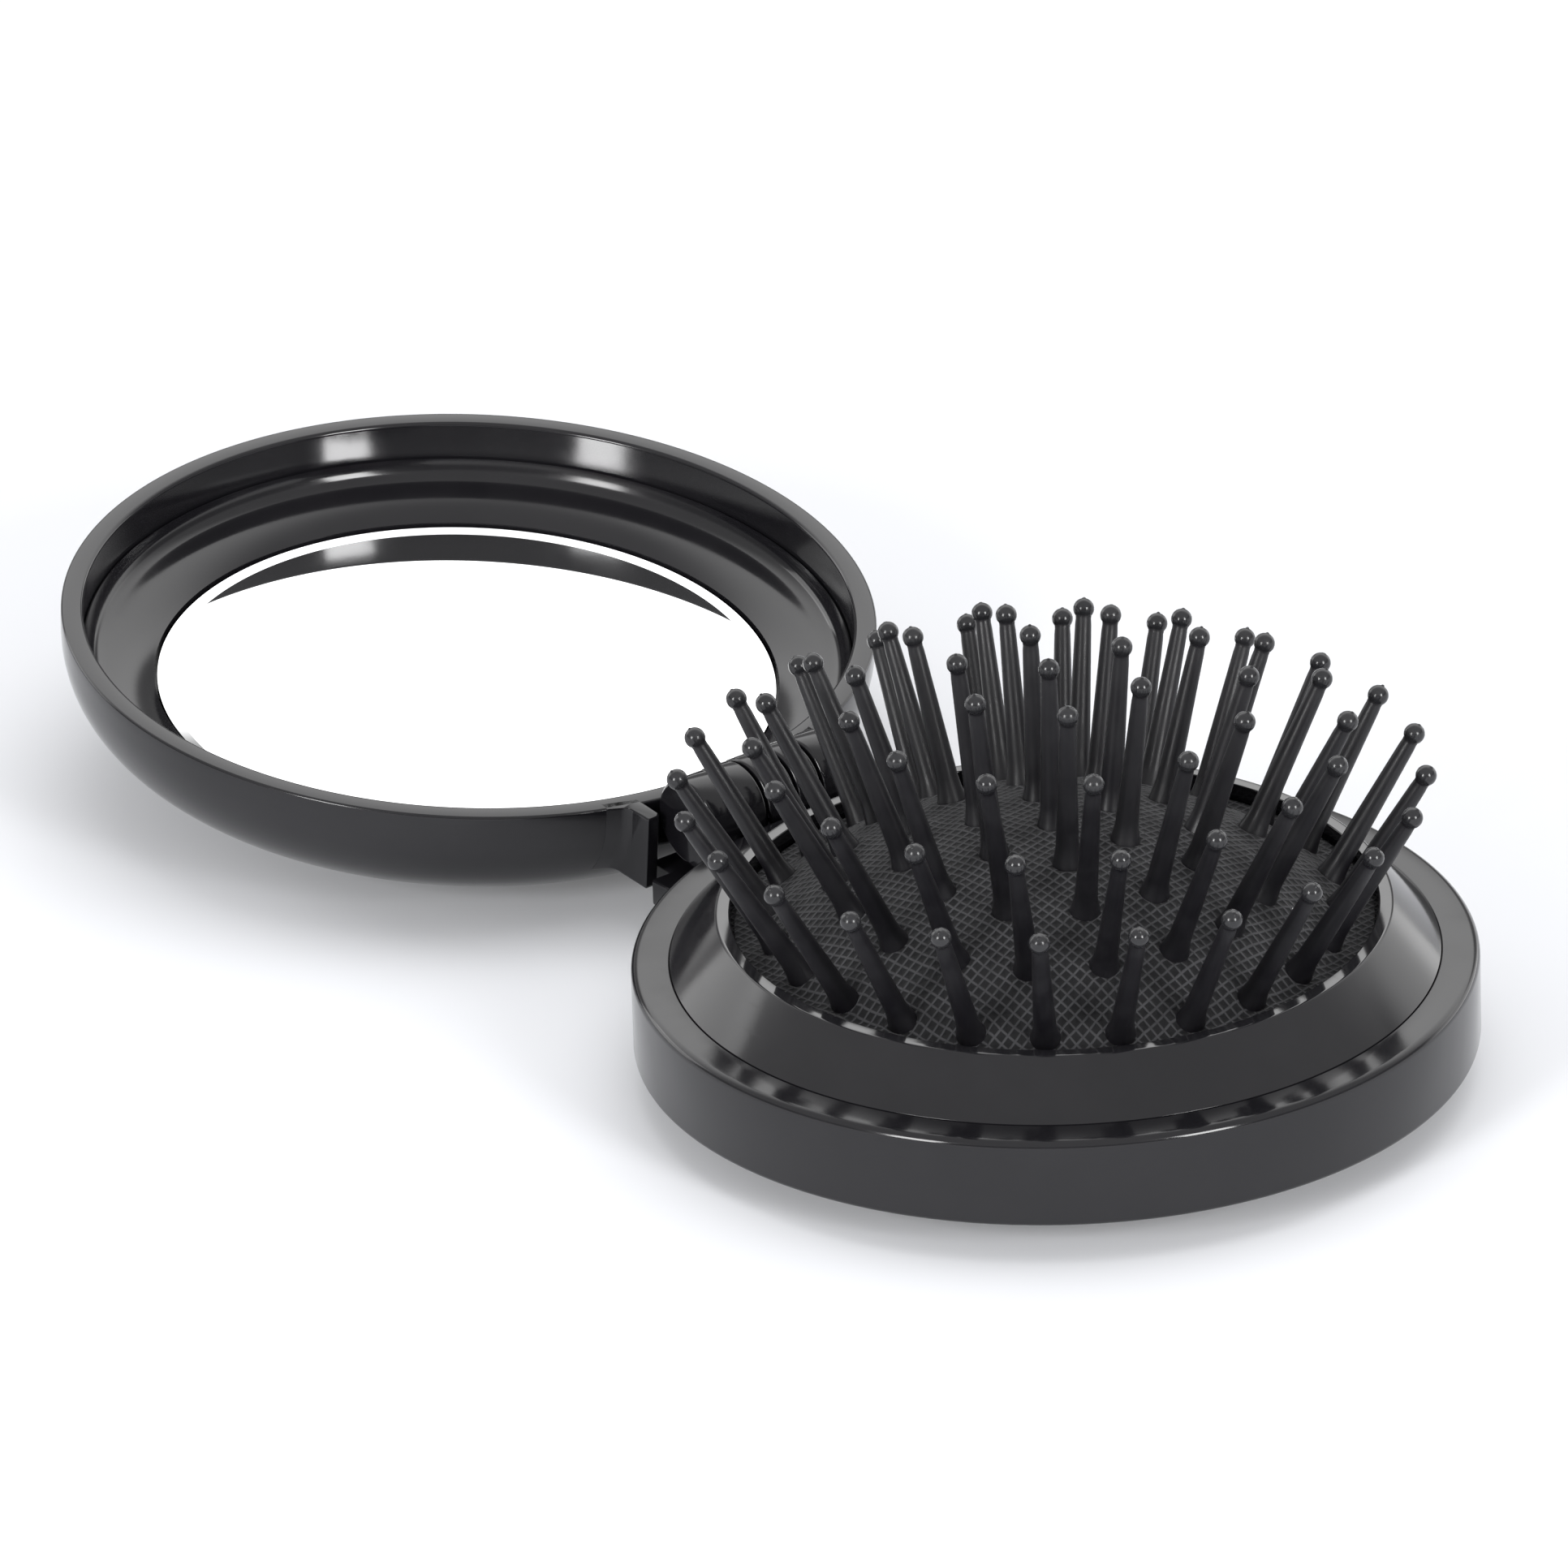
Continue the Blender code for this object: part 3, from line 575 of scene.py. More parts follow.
def knuckleOutline(reach, side):
    # a circle on the hinge's axis that runs out into a web on one side, in the XZ plane
    shape = knuckleShape
    top = math.asin(-shape["webTop"] / shape["radius"])
    # the web reaches lower than the circle, which therefore ends at its lowest point
    angle = np.linspace(top, tau - math.pi / 2, shape["points"])
    circle = np.stack([np.cos(angle), np.sin(angle)], -1) * shape["radius"]
    web = [(reach, -shape["webHeight"]), (reach, -shape["webTop"])]
    outline = np.concatenate([circle, web])
    if side < 0:
        outline = (outline * [-1, 1])[::-1]
    return outline * mm


def makeKnuckle(start, end, reach, side, place):
    # the outline's second axis becomes Z, and it is carried along -Y
    upright = place @ Matrix.Rotation(math.pi / 2, 4, "X")
    return slab(knuckleOutline(reach, side), -end * mm, -start * mm, knuckleShape["edge"] * mm, upright)


hingePlace = Matrix.Translation(hingePoint)


def knuckleSpan(place, gap):
    # the knuckles stand side by side; place counts them from the middle one
    length = knuckleShape["length"]
    return length * (place - 0.5) + gap, length * (place + 0.5) - gap


stepShape = {
    "reach": (-2.4, 5.0),
    "side": 9.7,
    "tongue": -5.2,
    "tongueSide": 7.3,
    "height": (-7.68, -5.38),
    "edge": 0.2,
    "corner": 0.35,
    "innerCorner": 0.1,
    "arcPoints": 6,
}


def makeStep():
    # the step stands beside the lid's ears, and its tongue closes the space under the knuckles
    shape = stepShape
    near, far = shape["reach"]
    low, high = shape["height"]
    side, tongue, narrow = shape["side"], shape["tongue"], shape["tongueSide"]
    corner, inner = shape["corner"], shape["innerCorner"]
    corners = [
        (tongue, -narrow), (near, -narrow), (near, -side), (far, -side),
        (far, side), (near, side), (near, narrow), (tongue, narrow),
    ]
    radii = [corner, inner, corner, 0, 0, corner, inner, corner]
    outline = rounded(corners, radii, shape["arcPoints"]) * mm
    return slab(outline, low * mm, high * mm, shape["edge"] * mm, hingePlace)


ringParts = [makeRing(), makeStep()]
for place in (-2, 0, 2):
    ringParts.append(makeKnuckle(*knuckleSpan(place, 0), knuckleShape["reach"], 1, hingePlace))
ring = meshObject("brushRing", ringParts, glossBlack)
finishPiece(ring, "base", "gloss_black_plastic", "base_shell")

collarShape = {
    "foot": 31.8,
    "height": 4.3,
    "opening": 26.7,
    "rimWidth": 1.15,
    "lip": 1.5,
    "coneStart": 0.05,
    "bottom": -1.9,
    "rounding": (0.1, 0.05, 0.4, 0.15, 0.15, 0.2, 0.1),
    "polishDepth": 0.02,
    "arcPoints": 9,
    "steps": 288,
}


def makeCollar():
    shape = collarShape
    lipUnder = shape["height"] - shape["lip"]
    corners = [
        (shape["foot"], shape["bottom"]),
        (shape["foot"], shape["coneStart"]),
        (shape["opening"] + shape["rimWidth"], shape["height"]),
        (shape["opening"], shape["height"]),
        (shape["opening"], lipUnder),
        (ringShape["bore"], lipUnder),
        (ringShape["bore"], shape["bottom"]),
    ]
    outline = rounded(corners, shape["rounding"], shape["arcPoints"]) * mm
    return turned(outline, shape["steps"], ringPlace)


def faceMiddles(piece):
    middles = np.zeros(len(piece.data.polygons) * 3)
    piece.data.polygons.foreach_get("center", middles)
    return middles.reshape(-1, 3)


collar = meshObject("cushionCollar", [makeCollar()], glossBlack)
# the flat rim round the opening is polished brighter than the cone
collar.data.materials.append(rimBlack)
rimLevel = ringPlace.translation.z + (collarShape["height"] - collarShape["polishDepth"]) * mm
rimFace = faceMiddles(collar)[:, 2] > rimLevel
collar.data.polygons.foreach_set("material_index", rimFace.astype(np.int32))
finishPiece(collar, "base", "gloss_black_plastic", "collar_ring")
print("ring and collar made")


# cushion and pins

cushionShape = {
    "domeRadius": 39.0,
    "domeTop": 11.5,
    "edge": 26.35,
    "flat": 2.95,
    "borderEase": 0.02,
    "thickness": 0.45,
    "rows": 90,
    "steps": 288,
    "pucker": 0.16,
    "puckerRadius": 1.75,
    "puckerWidth": 0.45,
}
pinRings = {
    # name: count, foot radius, then lean and first direction in degrees
    "outer": (24, 23.4, 31.1, 3.1),
    "middle": (18, 17.9, 27.4, 13.3),
    "inner": (12, 12.3, 18.2, 2.2),
    "centre": (6, 6.3, 6.7, 31.0),
    "top": (1, 0.0, 0.0, 0.0),
}


def domeHeight(radius):
    shape = cushionShape
    return shape["domeTop"] - shape["domeRadius"] + np.sqrt(shape["domeRadius"] ** 2 - radius**2)


def pinFeet(name):
    count, foot, _, first = pinRings[name]
    turn = math.radians(first) + np.arange(count) * tau / count
    return np.stack([foot * np.cos(turn), foot * np.sin(turn)], -1)


def cushionHeight(x, y):
    # the dome, eased into a flat border, with a low swelling round each pin's foot
    shape = cushionShape
    radius = np.hypot(x, y)
    dome = domeHeight(radius)
    bend = np.sqrt((dome - shape["flat"]) ** 2 + shape["borderEase"])
    ease = 0.5 * (dome + shape["flat"] + bend)
    feet = np.concatenate([pinFeet(name) for name in pinRings])
    swelling = np.zeros_like(x)
    for footX, footY in feet:
        away = np.hypot(x - footX, y - footY)
        swelling += np.exp(-(((away - shape["puckerRadius"]) / shape["puckerWidth"]) ** 2))
    return ease + shape["pucker"] * swelling


def makeCushion():
    shape = cushionShape
    radius = np.linspace(0, shape["edge"], shape["rows"])[:, None]
    angle = (np.arange(shape["steps"]) * tau / shape["steps"])[None, :]
    x, y = radius * np.cos(angle), radius * np.sin(angle)
    top = np.stack([x, y, cushionHeight(x, y)], -1)
    under = np.stack([x, y, top[..., 2] - shape["thickness"]], -1)[::-1]
    points = np.concatenate([top, under]).reshape(-1, 3) * mm
    return placed(points, ringPlace), gridFaces(2 * shape["rows"], shape["steps"], False), []


cushion = meshObject("wovenCushion", [makeCushion()], wovenRubber)
finishPiece(cushion, "carrier", "cushion_rubber", "cushion_skin")
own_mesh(cushion)

# the backing under the cushion follows the dome between these two depths under it
backingDepth = {"top": 0.8, "bottom": 1.5}
carrierShape = {
    "flange": (28.1, 2.48, 1.9),
    "flangeLap": 0.9,
    "inside": 21.3,
    "skirt": 24.5,
    "points": 6,
    "steps": 192,
}
sliceShapes = {
    # name: inside, outside, points across, steps round
    "middle": (15.7, 19.6, 7, 144),
    "inner": (10.1, 14.0, 7, 144),
    "centre": (0.0, 8.0, 7, 96),
}


def backing(inside, outside, points):
    radius = np.linspace(inside, outside, points)
    upper = np.stack([radius, domeHeight(radius) - backingDepth["top"]], -1)
    lower = np.stack([radius, domeHeight(radius) - backingDepth["bottom"]], -1)[::-1]
    return upper, lower


def makeSlice(name, wrap=True):
    inside, outside, points, steps = sliceShapes[name]
    outline = np.concatenate(backing(inside, outside, points)) * mm
    return turned(outline, steps, ringPlace, wrap)


def makeCarrier():
    shape = carrierShape
    outer, top, bottom = shape["flange"]
    upper, lower = backing(shape["inside"], shape["skirt"], shape["points"])
    flange = [(outer, top), (outer, bottom), (shape["skirt"] + shape["flangeLap"], bottom)]
    outline = np.concatenate([upper, flange, lower]) * mm
    return turned(outline, shape["steps"], ringPlace)


carrier = meshObject("cushionCarrier", [makeCarrier()], wovenRubber, 60)
finishPiece(carrier, "carrier", "cushion_rubber", "cushion_carrier")
rootRing = meshObject("middleRootRing", [makeSlice("middle")], wovenRubber, 60)
finishPiece(rootRing, "middle_ring", "cushion_rubber", "middle_root_ring")

pinShape = {
    "length": 14.15,
    "ball": 0.88,
    "neck": 0.64,
    "tip": 0.68,
    "foot": 0.95,
    "flare": 1.27,
    "flareHeight": 2.0,
    "root": 0.8,
    "rootLength": 1.15,
    "rootTop": -0.1,
    "rootLap": 0.02,
    "flareStart": 0.05,
    "flarePower": 1.6,
    "shaftEnd": 1.35,
    "shaftPoints": 9,
    "neckDrop": 0.82,
    "ballFrom": -0.72,
    "ballTo": 1.36,
    "ballPoints": 13,
    "nib": 0.08,
    "nibRadii": (0.16, 0.08),
    "nibSpread": (0.3, 1.6),
    "spin": 1.7,
    "steps": 22,
}


def pinOutline(nib):
    # root, flared foot, slim tapering shaft, narrow neck, ball and the small nib left by the mould
    shape = pinShape
    length, foot, flareHeight = shape["length"], shape["foot"], shape["flareHeight"]
    root, rootTop, rootEnd = shape["root"], shape["rootTop"], -shape["rootLength"]
    rootPart = [(0, rootEnd), (root, rootEnd), (root, rootTop), (shape["flare"] + shape["rootLap"], rootTop)]
    share = np.linspace(0, 1, shape["shaftPoints"])
    flareRadius = foot + (shape["flare"] - foot) * (1 - share) ** shape["flarePower"]
    flare = np.stack([flareRadius, shape["flareStart"] + flareHeight * share], -1)
    share = share[1:]
    shaftHeight = length - shape["shaftEnd"] - flareHeight
    shaftRadius = foot + (shape["tip"] - foot) * share
    shaft = np.stack([shaftRadius, shape["flareStart"] + flareHeight + shaftHeight * share], -1)
    neck = [(shape["neck"], length - shape["neckDrop"])]
    angle = np.linspace(shape["ballFrom"], shape["ballTo"], shape["ballPoints"])
    ball = np.stack([shape["ball"] * np.cos(angle), length + shape["ball"] * np.sin(angle)], -1)
    top = length + shape["ball"]
    low, high = shape["nibRadii"]
    head = [(low, top), (high, top + nib * 0.8), (0, top + nib)]
    return np.concatenate([rootPart, flare, shaft, neck, ball, head]) * mm


def pinPlace(name, number):
    # on the dome, leaning out by the ring's lean in the pin's own direction
    count, foot, lean, first = pinRings[name]
    direction = math.radians(first) + number * tau / count
    return (
        ringPlace
        @ Matrix.Rotation(direction, 4, "Z")
        @ Matrix.Translation((foot * mm, 0, float(domeHeight(foot)) * mm))
        @ Matrix.Rotation(math.radians(lean), 4, "Y")
        @ Matrix.Rotation(number * pinShape["spin"], 4, "Z")
    )


dice = np.random.default_rng(7)


def pinPart(name, number):
    nib = pinShape["nib"] * dice.uniform(*pinShape["nibSpread"])
    return turned(pinOutline(nib), pinShape["steps"], pinPlace(name, number), wrap=False)


def pinParts(name):
    return [pinPart(name, number) for number in range(pinRings[name][0])]


def pinPlaces(name):
    return [pinPlace(name, number) for number in range(pinRings[name][0])]


def polishAndPaintLightOnBalls(piece, places):
    # the faces within a ball's radius of its middle take the glossier plastic, whose lighter colour is
    # painted light standing in for the room reflected on the balls
    piece.data.materials.append(ballBlackPaintedLight)
    faceMiddle = faceMiddles(piece)
    ballFace = np.zeros(len(faceMiddle), bool)
    for place in places:
        ball = np.array(place @ Vector((0, 0, pinShape["length"] * mm)))
        ballFace |= np.linalg.norm(faceMiddle - ball, axis=1) < pinShape["ball"] * 1.02 * mm
    piece.data.polygons.foreach_set("material_index", ballFace.astype(np.int32))


for name in ("outer", "middle"):
    for number in range(pinRings[name][0]):
        node = f"pin_{name}_{number + 1:02d}"
        pin = meshObject(f"ballPin_{name}_{number + 1:02d}", [pinPart(name, number)], pinBlack, 50)
        polishAndPaintLightOnBalls(pin, [pinPlace(name, number)])
        finishPiece(pin, node, "pin_black_plastic", node)
innerPins = meshObject("innerPins", [makeSlice("inner"), *pinParts("inner")], pinBlack, 50)
polishAndPaintLightOnBalls(innerPins, pinPlaces("inner"))
finishPiece(innerPins, "inner_pins", "pin_black_plastic", "pins_inner")
centreParts = [makeSlice("centre", wrap=False), *pinParts("centre"), *pinParts("top")]
centrePins = meshObject("centrePins", centreParts, pinBlack, 50)
polishAndPaintLightOnBalls(centrePins, pinPlaces("centre") + pinPlaces("top"))
finishPiece(centrePins, "centre_pins", "pin_black_plastic", "pins_centre")
print("cushion and pins made")


# lid, liner and mirror

lidShape = {
    "rimRadius": 35.0,
    "rimWidth": 1.9,
    "rimDrop": 0.9,
    "depth": 13.2,
    "bottomRadius": 10.0,
    "wall": 1.5,
    "ledge": 3.7,
    "power": 0.8,
    "curvePoints": 34,
    "rimRounding": (0, 0.25, 0.35, 0),
    "arcPoints": 6,
    "steps": 288,
}


def dishCurve(radius, bottomRadius, top, depth):
    # superellipse from the wall down and in to the flat bottom, as (radius, height)
    angle = np.linspace(0, math.pi / 2, lidShape["curvePoints"])
    across = np.clip(np.cos(angle), 0, 1) ** lidShape["power"]
    down = np.sin(angle) ** lidShape["power"]
    return np.stack([bottomRadius + (radius - bottomRadius) * across, -(top + (depth - top) * down)], -1)


def makeLidShell():
    shape = lidShape
    inside = shape["rimRadius"] - shape["rimWidth"]
    outer = dishCurve(shape["rimRadius"], shape["bottomRadius"], shape["rimDrop"], shape["depth"])
    inner = dishCurve(
        shape["rimRadius"] - shape["wall"], shape["bottomRadius"] + shape["wall"], shape["ledge"],
        shape["depth"] - shape["wall"]
    )
    inner[:, 0] = np.minimum(inner[:, 0], inside)
    rim = rounded(
        [
            (shape["rimRadius"], -shape["rimDrop"]),
            (shape["rimRadius"], 0),
            (inside, 0),
            (inside, -shape["ledge"]),
        ],
        shape["rimRounding"], shape["arcPoints"], False,
    )
    outline = np.concatenate(
        [[(0, -shape["depth"])], outer[::-1], rim[1:-1], inner, [(0, shape["wall"] - shape["depth"])]]
    )
    return turned(outline * mm, shape["steps"], lidPlace, wrap=False)


earShape = {
    "spread": 9.7,
    "thickness": 1.5,
    "reach": 36.5,
    "height": 6.8,
    "edge": 0.15,
    "fillet": 1.7,
    "filletRadius": 1.1,
    "filletStart": 0.3,
    "chamfer": 0.3,
    "tipSlant": 0.1,
    "sink": 0.7,
    "lap": (0.02, 0.9),
    "rounding": (0, 0.1, 0.15, 0.1),
    "arcPoints": 7,
    "levels": 24,
}


def earOutline(wall, inset):
    # seen from above: the wall's circle runs through a hollow curve into the ear's straight side
    shape = earShape
    thin, chamfer = shape["spread"] - shape["thickness"], shape["chamfer"]
    inner = thin + inset
    reach = shape["reach"] - inset
    spread = shape["spread"] - inset
    spreadFar = spread + shape["fillet"]
    rootFar = math.sqrt(wall**2 - spreadFar**2)
    outside, inside = shape["lap"]
    corners = [
        (math.sqrt((wall - shape["sink"]) ** 2 - thin**2), inner),
        (reach - chamfer, inner),
        (reach, inner + chamfer),
        (reach, spread - shape["tipSlant"]),
        (math.sqrt(wall**2 - spread**2) + shape["filletStart"], spread),
        (rootFar + outside, spreadFar),
        (rootFar - inside, spreadFar),
    ]
    return rounded(corners, [*shape["rounding"], shape["filletRadius"], 0, 0], shape["arcPoints"])


def makeEar(side):
    # the outline follows the dish's wall down, and draws in at the top and bottom edge
    shape = earShape
    dish = dishCurve(*(lidShape[name] for name in ("rimRadius", "bottomRadius", "rimDrop", "depth")))
    levels = shape["height"] * (1 - np.cos(np.linspace(0, math.pi, shape["levels"]))) / 2
    layers = []
    for level in levels:
        wall = np.interp(level, -dish[:, 1], dish[:, 0])
        fromEnd = min(level, shape["height"] - level, shape["edge"])
        inset = shape["edge"] - math.sqrt(fromEnd * (2 * shape["edge"] - fromEnd))
        outline = earOutline(wall, inset)
        if side < 0:
            outline = (outline * [1, -1])[::-1]
        layers.append(np.column_stack([outline, np.full(len(outline), -level)]))
    points = np.concatenate(layers) * mm
    count = len(layers[0])
    caps = [list(range(count)), list(range(len(points) - count, len(points)))[::-1]]
    return placed(points, lidPlace), gridFaces(len(layers), count, False), caps


lidParts = [makeLidShell(), makeEar(-1), makeEar(1)]
for place in (-1, 1):
    start, end = knuckleSpan(place, knuckleShape["gap"])
    lidParts.append(makeKnuckle(start, end, -knuckleShape["reach"], -1, lidHinge))
lid = meshObject("lidDish", lidParts, glossBlack)
finishPiece(lid, "lid", "gloss_black_plastic", "lid_shell")

linerShape = {
    "edge": 33.05,
    "edgeInset": 0.2,
    "top": 3.4,
    "seat": 26.9,
    "lip": 6.5,
    "tray": 9.2,
    "hole": 8.0,
    "wall": 0.6,
    "shoulder": 1.8,
    "shoulderShare": 0.08,
    "power": 2.6,
    "spacing": 1.5,
    "backInset": 0.05,
    "backTop": 0.1,
    "backDrop": 0.5,
    "points": 44,
    "steps": 288,
}


def makeLiner():
    shape = linerShape
    seat, top, lip, tray, wall = (shape[name] for name in ("seat", "top", "lip", "tray", "wall"))
    # depth = top + shoulder x (1 - e^(-share / shoulderShare)) + the rest x share^power, so the bowl drops
    # just inside the wall, flattens, and grows steeper again to the mirror
    share = np.linspace(0, 1, shape["points"]) ** shape["spacing"]
    edge = shape["edge"] - shape["edgeInset"]
    across = edge + (seat - edge) * share
    drop = shape["shoulder"] * (1 - np.exp(-share / shape["shoulderShare"]))
    down = top + drop + (lip - top - drop[-1]) * share ** shape["power"]
    curve = np.stack([across, -down], -1)[::-1]
    # the underside is a quarter of an ellipse down to the tray's wall
    angle = np.linspace(0, math.pi / 2, shape["points"])
    backAcross = seat + (shape["edge"] - shape["backInset"] - seat) * np.cos(angle)
    backDown = top + shape["backTop"] + (lip + shape["backDrop"] - top) * np.sin(angle)
    back = np.stack([backAcross, -backDown], -1)[backAcross > seat + wall]
    trayTop = [(shape["hole"], -tray), (seat, -tray)]
    trayUnder = [
        (seat + wall, -lip - wall),
        (seat + wall, -tray),
        (seat - wall, -tray - wall),
        (shape["hole"], -tray - wall),
    ]
    outline = np.concatenate([trayTop, curve, back, trayUnder])
    return turned(outline * mm, shape["steps"], lidPlace)


liner = meshObject("lidLiner", [makeLiner()], glossBlack)
finishPiece(liner, "lid", "gloss_black_plastic", "lid_liner")

mirrorShape = {"radius": 26.6, "depth": 6.99, "edgeDepth": 6.8, "bottom": 8.2, "bevel": 0.9, "steps": 288}


def makeMirror():
    shape = mirrorShape
    bottom = -shape["bottom"]
    corners = [
        (0, -shape["depth"]),
        (shape["radius"] - shape["bevel"], -shape["depth"]),
        (shape["radius"], -shape["edgeDepth"]),
        (shape["radius"], bottom),
        (0, bottom),
    ]
    return turned(np.array(corners) * mm, shape["steps"], lidPlace, wrap=False)


mirror = meshObject("roundMirror", [makeMirror()], mirrorGlass, 5)
finishPiece(mirror, "lid", "mirror_glass", "mirror")

pad = frame["nodes"]["mirror_pad"]
pad.data.materials.clear()
pad.data.materials.append(padFoam)

rodShape = {"radius": 0.8, "half": 7.2, "rounding": (0, 0.2, 0.2, 0), "arcPoints": 5, "steps": 48}


def makeHingeRod():
    shape = rodShape
    radius, half = shape["radius"], shape["half"]
    corners = [(0, -half), (radius, -half), (radius, half), (0, half)]
    outline = rounded(corners, shape["rounding"], shape["arcPoints"], False) * mm
    alongHinge = hingePlace @ Matrix.Rotation(math.pi / 2, 4, "X")
    return turned(outline, shape["steps"], alongHinge, wrap=False)


hingeRod = meshObject("hingeRod", [makeHingeRod()], hingeSteel)
finishPiece(hingeRod, "base", "hinge_steel", "hinge_pin")
print("lid and mirror made")


# table, light and camera

studio = {
    "floorHalf": 4.0,
    "floorColour": (0.79, 0.80, 0.83),
    "floorRoughness": 0.9,
    "floorGlow": 0.1,
    "aim": (0, 0, 0.01),
    "worldFill": 0.55,
    "overhead": {"place": (0.0, 0.25, 1.3), "size": (1.3, 1.3), "power": 7.9},
    # what polished faces see of the room: bright behind the compact, dim overhead and in front
    "roomFront": 0.75,
    "roomLow": 0.33,
    "roomHorizon": 0.9,
    "roomBehind": 1.2,
    "roomGlow": {"turn": 132, "rise": 6, "strength": 1.5},
    "frontPair": {"turn": 38, "rise": 22, "distance": 1.4, "size": (0.32, 0.5), "power": 9.0},
    "behind": {"turn": 140, "rise": 12, "distance": 1.4, "size": (0.95, 0.47), "power": 3.2},
    "side": {"turn": -125, "rise": 18, "distance": 1.4, "size": (0.7, 0.5), "power": 2.2},
}
# where each part of the room fades in and out, as the sine of its rise or the cosine of its turn
roomRanges = {
    "behind": (0.2, 0.7),
    "notOverhead": (0.8, 0.96),
    "notLow": (0.36, 0.43),
    "above": (0.3, 0.5),
    "horizon": (0.04, 0.16),
    "window": (0.91, 0.985),
}
# elevation and roll in degrees, distance in metres, focal length, frame and point in pixels
cameraShape = {
    "elevation": 25.65,
    "heading": (-0.7826, 0.6225),
    "roll": -1.78,
    "distance": 1.3,
    "focal": 19440.0,
    "frame": 1932,
    "point": (1300.1, 1171.1),
    "sensor": 36.0,
    "clip": (0.05, 20.0),
}


def makeFloor():
    mesh = bpy.data.meshes.new("table")
    half = studio["floorHalf"]
    corners = [(-half, -half, 0), (half, -half, 0), (half, half, 0), (-half, half, 0)]
    mesh.from_pydata(corners, [], [(0, 1, 2, 3)])
    floor = bpy.data.objects.new("table", mesh)
    bpy.context.scene.collection.objects.link(floor)
    material, tree, shader, _ = startMaterial("paleTable")
    shader.inputs["Base Color"].default_value = (*studio["floorColour"], 1)
    shader.inputs["Roughness"].default_value = studio["floorRoughness"]
    shader.inputs["Specular IOR Level"].default_value = 0.0
    seen, _ = seenNode(tree)
    shader.inputs["Emission Color"].default_value = (1, 1, 1, 1)
    tree.links.new(mathNode(tree, "MULTIPLY", seen, studio["floorGlow"]), shader.inputs["Emission Strength"])
    mesh.materials.append(material)


def makeWorld(ahead):
    world = bpy.data.worlds.new("paleRoom")
    bpy.context.scene.world = world
    world.use_nodes = True
    tree = world.node_tree
    tree.nodes.clear()
    seen, path = seenNode(tree)
    direction = tree.nodes.new("ShaderNodeTexCoord").outputs["Generated"]
    parts = tree.nodes.new("ShaderNodeSeparateXYZ")
    tree.links.new(direction, parts.inputs[0])
    height = parts.outputs["Z"]

    def fade(value, name, low, high):
        return rangeNode(tree, value, *roomRanges[name], low, high)

    # a bright patch behind the compact, between its low and its overhead edge
    along = facingNode(tree, direction, Vector((ahead.x, ahead.y, 0)).normalized())
    behind = fade(along, "behind", 0.0, studio["roomBehind"])
    notOverhead = fade(height, "notOverhead", 1.0, 0.0)
    notLow = fade(height, "notLow", 0.0, 1.0)
    patch = mathNode(tree, "MULTIPLY", behind, mathNode(tree, "MULTIPLY", notOverhead, notLow))
    above = fade(height, "above", studio["roomLow"], studio["roomFront"])
    horizon = fade(height, "horizon", studio["roomHorizon"], 0.0)
    glow = studio["roomGlow"]
    towards = facingNode(tree, direction, around(ahead, glow["turn"], glow["rise"], 1.0))
    window = fade(towards, "window", 0.0, glow["strength"])
    room = mathNode(tree, "ADD", mathNode(tree, "ADD", patch, above), mathNode(tree, "ADD", horizon, window))
    # the camera sees plain white, polished faces see the room
    darker = mathNode(tree, "MULTIPLY", mathNode(tree, "SUBTRACT", room, 1.0), path.outputs["Is Glossy Ray"])
    strengths = (studio["worldFill"], mathNode(tree, "ADD", darker, 1.0))
    mix = tree.nodes.new("ShaderNodeMixShader")
    tree.links.new(seen, mix.inputs[0])
    for socket, strength in zip(mix.inputs[1:], strengths):
        background = tree.nodes.new("ShaderNodeBackground")
        background.inputs["Color"].default_value = (1, 1, 1, 1)
        feed(tree, strength, background.inputs["Strength"])
        tree.links.new(background.outputs[0], socket)
    output = tree.nodes.new("ShaderNodeOutputWorld")
    tree.links.new(mix.outputs[0], output.inputs["Surface"])


def addSoftbox(name, place, size, power):
    light = bpy.data.lights.new(name, "AREA")
    light.shape = "RECTANGLE"
    light.size, light.size_y = size
    light.energy = power
    box = bpy.data.objects.new(name, light)
    bpy.context.scene.collection.objects.link(box)
    box.location = place
    box.rotation_euler = (Vector(studio["aim"]) - Vector(place)).to_track_quat("-Z", "Y").to_euler()
    return box


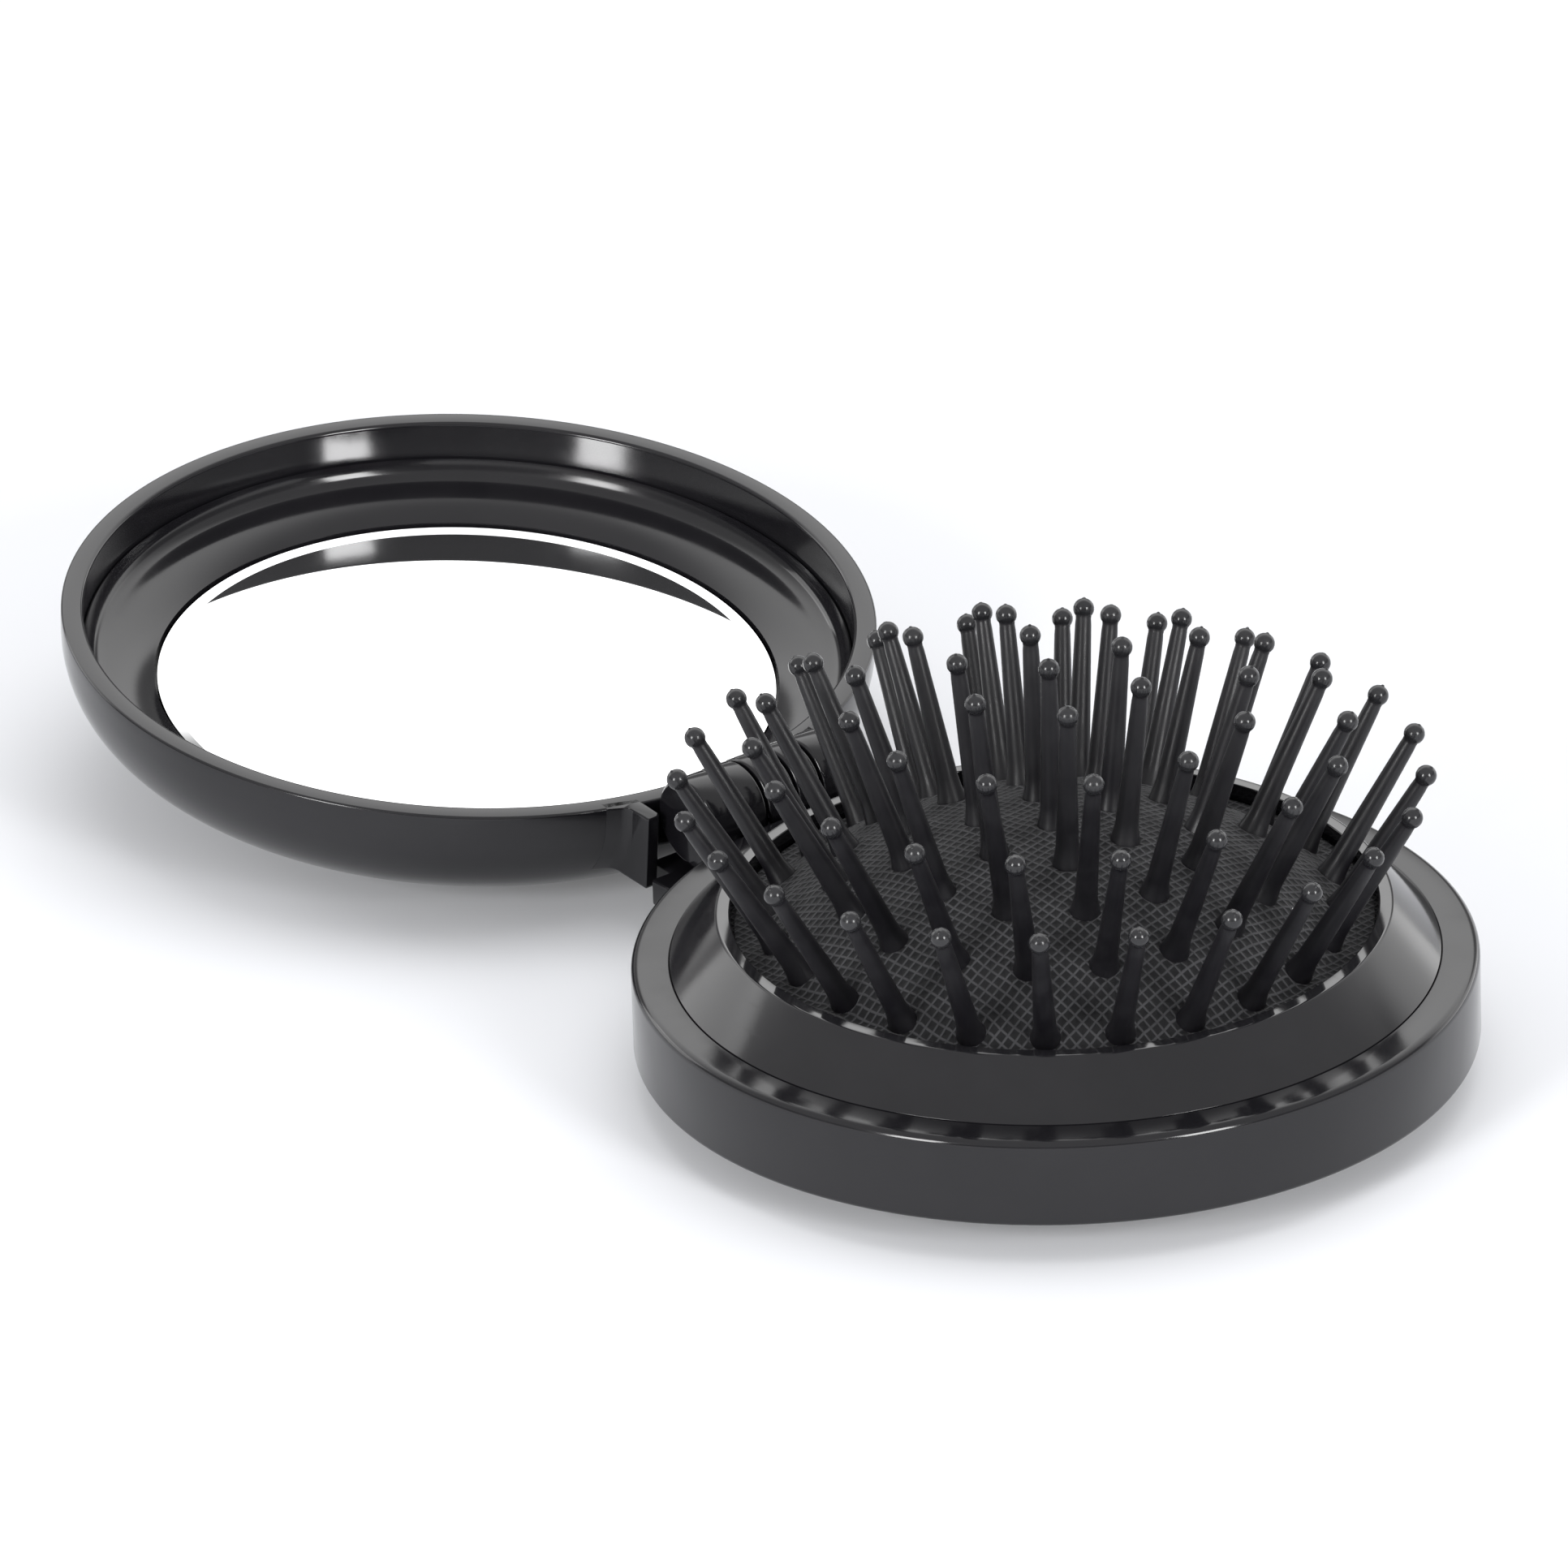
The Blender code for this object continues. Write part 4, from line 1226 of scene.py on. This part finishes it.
def makeCamera():
    shape = cameraShape
    rise = math.radians(shape["elevation"])
    headX, headY = shape["heading"]
    ahead = Vector((math.cos(rise) * headX, math.cos(rise) * headY, -math.sin(rise))).normalized()
    levelRight = ahead.cross(Vector((0, 0, 1))).normalized()
    levelUp = levelRight.cross(ahead)
    roll = math.radians(shape["roll"])
    right = math.cos(roll) * levelRight + math.sin(roll) * levelUp
    up = -math.sin(roll) * levelRight + math.cos(roll) * levelUp
    half = shape["frame"] / 2
    sideways = (shape["point"][0] - half) * shape["distance"] / shape["focal"]
    upwards = (half - shape["point"][1]) * shape["distance"] / shape["focal"]
    target = ringPlace.translation
    place = target - ahead * shape["distance"] - right * sideways - up * upwards
    lens = bpy.data.cameras.new("studioCamera")
    lens.sensor_fit = "HORIZONTAL"
    lens.sensor_width = shape["sensor"]
    lens.lens = shape["focal"] / shape["frame"] * shape["sensor"]
    lens.clip_start, lens.clip_end = shape["clip"]
    camera = bpy.data.objects.new("studioCamera", lens)
    bpy.context.scene.collection.objects.link(camera)
    matrix = Matrix((right, up, -ahead)).transposed().to_4x4()
    matrix.translation = place
    camera.matrix_world = matrix
    bpy.context.scene.camera = camera
    return ahead


def around(ahead, turn, rise, distance):
    # a place seen from the brush, turned from the camera's own side
    side = math.atan2(-ahead.y, -ahead.x) + math.radians(turn)
    height = math.radians(rise)
    return (
        distance * math.cos(height) * math.cos(side),
        distance * math.cos(height) * math.sin(side),
        distance * math.sin(height),
    )


makeFloor()
ahead = makeCamera()
makeWorld(ahead)
top = studio["overhead"]
# the overhead and rear boxes only light, and polished faces see the room in their place
overhead = addSoftbox("overheadSoftbox", top["place"], top["size"], top["power"])
overhead.visible_glossy = False
pair = studio["frontPair"]
for side in (-1, 1):
    place = around(ahead, side * pair["turn"], pair["rise"], pair["distance"])
    addSoftbox(f"frontSoftbox{side}", place, pair["size"], pair["power"])
for name in ("side", "behind"):
    box = studio[name]
    place = around(ahead, box["turn"], box["rise"], box["distance"])
    softbox = addSoftbox(f"{name}Softbox", place, box["size"], box["power"])
    softbox.visible_glossy = name == "side"
bpy.context.scene.view_settings.view_transform = "Standard"
print("table, light and camera made")
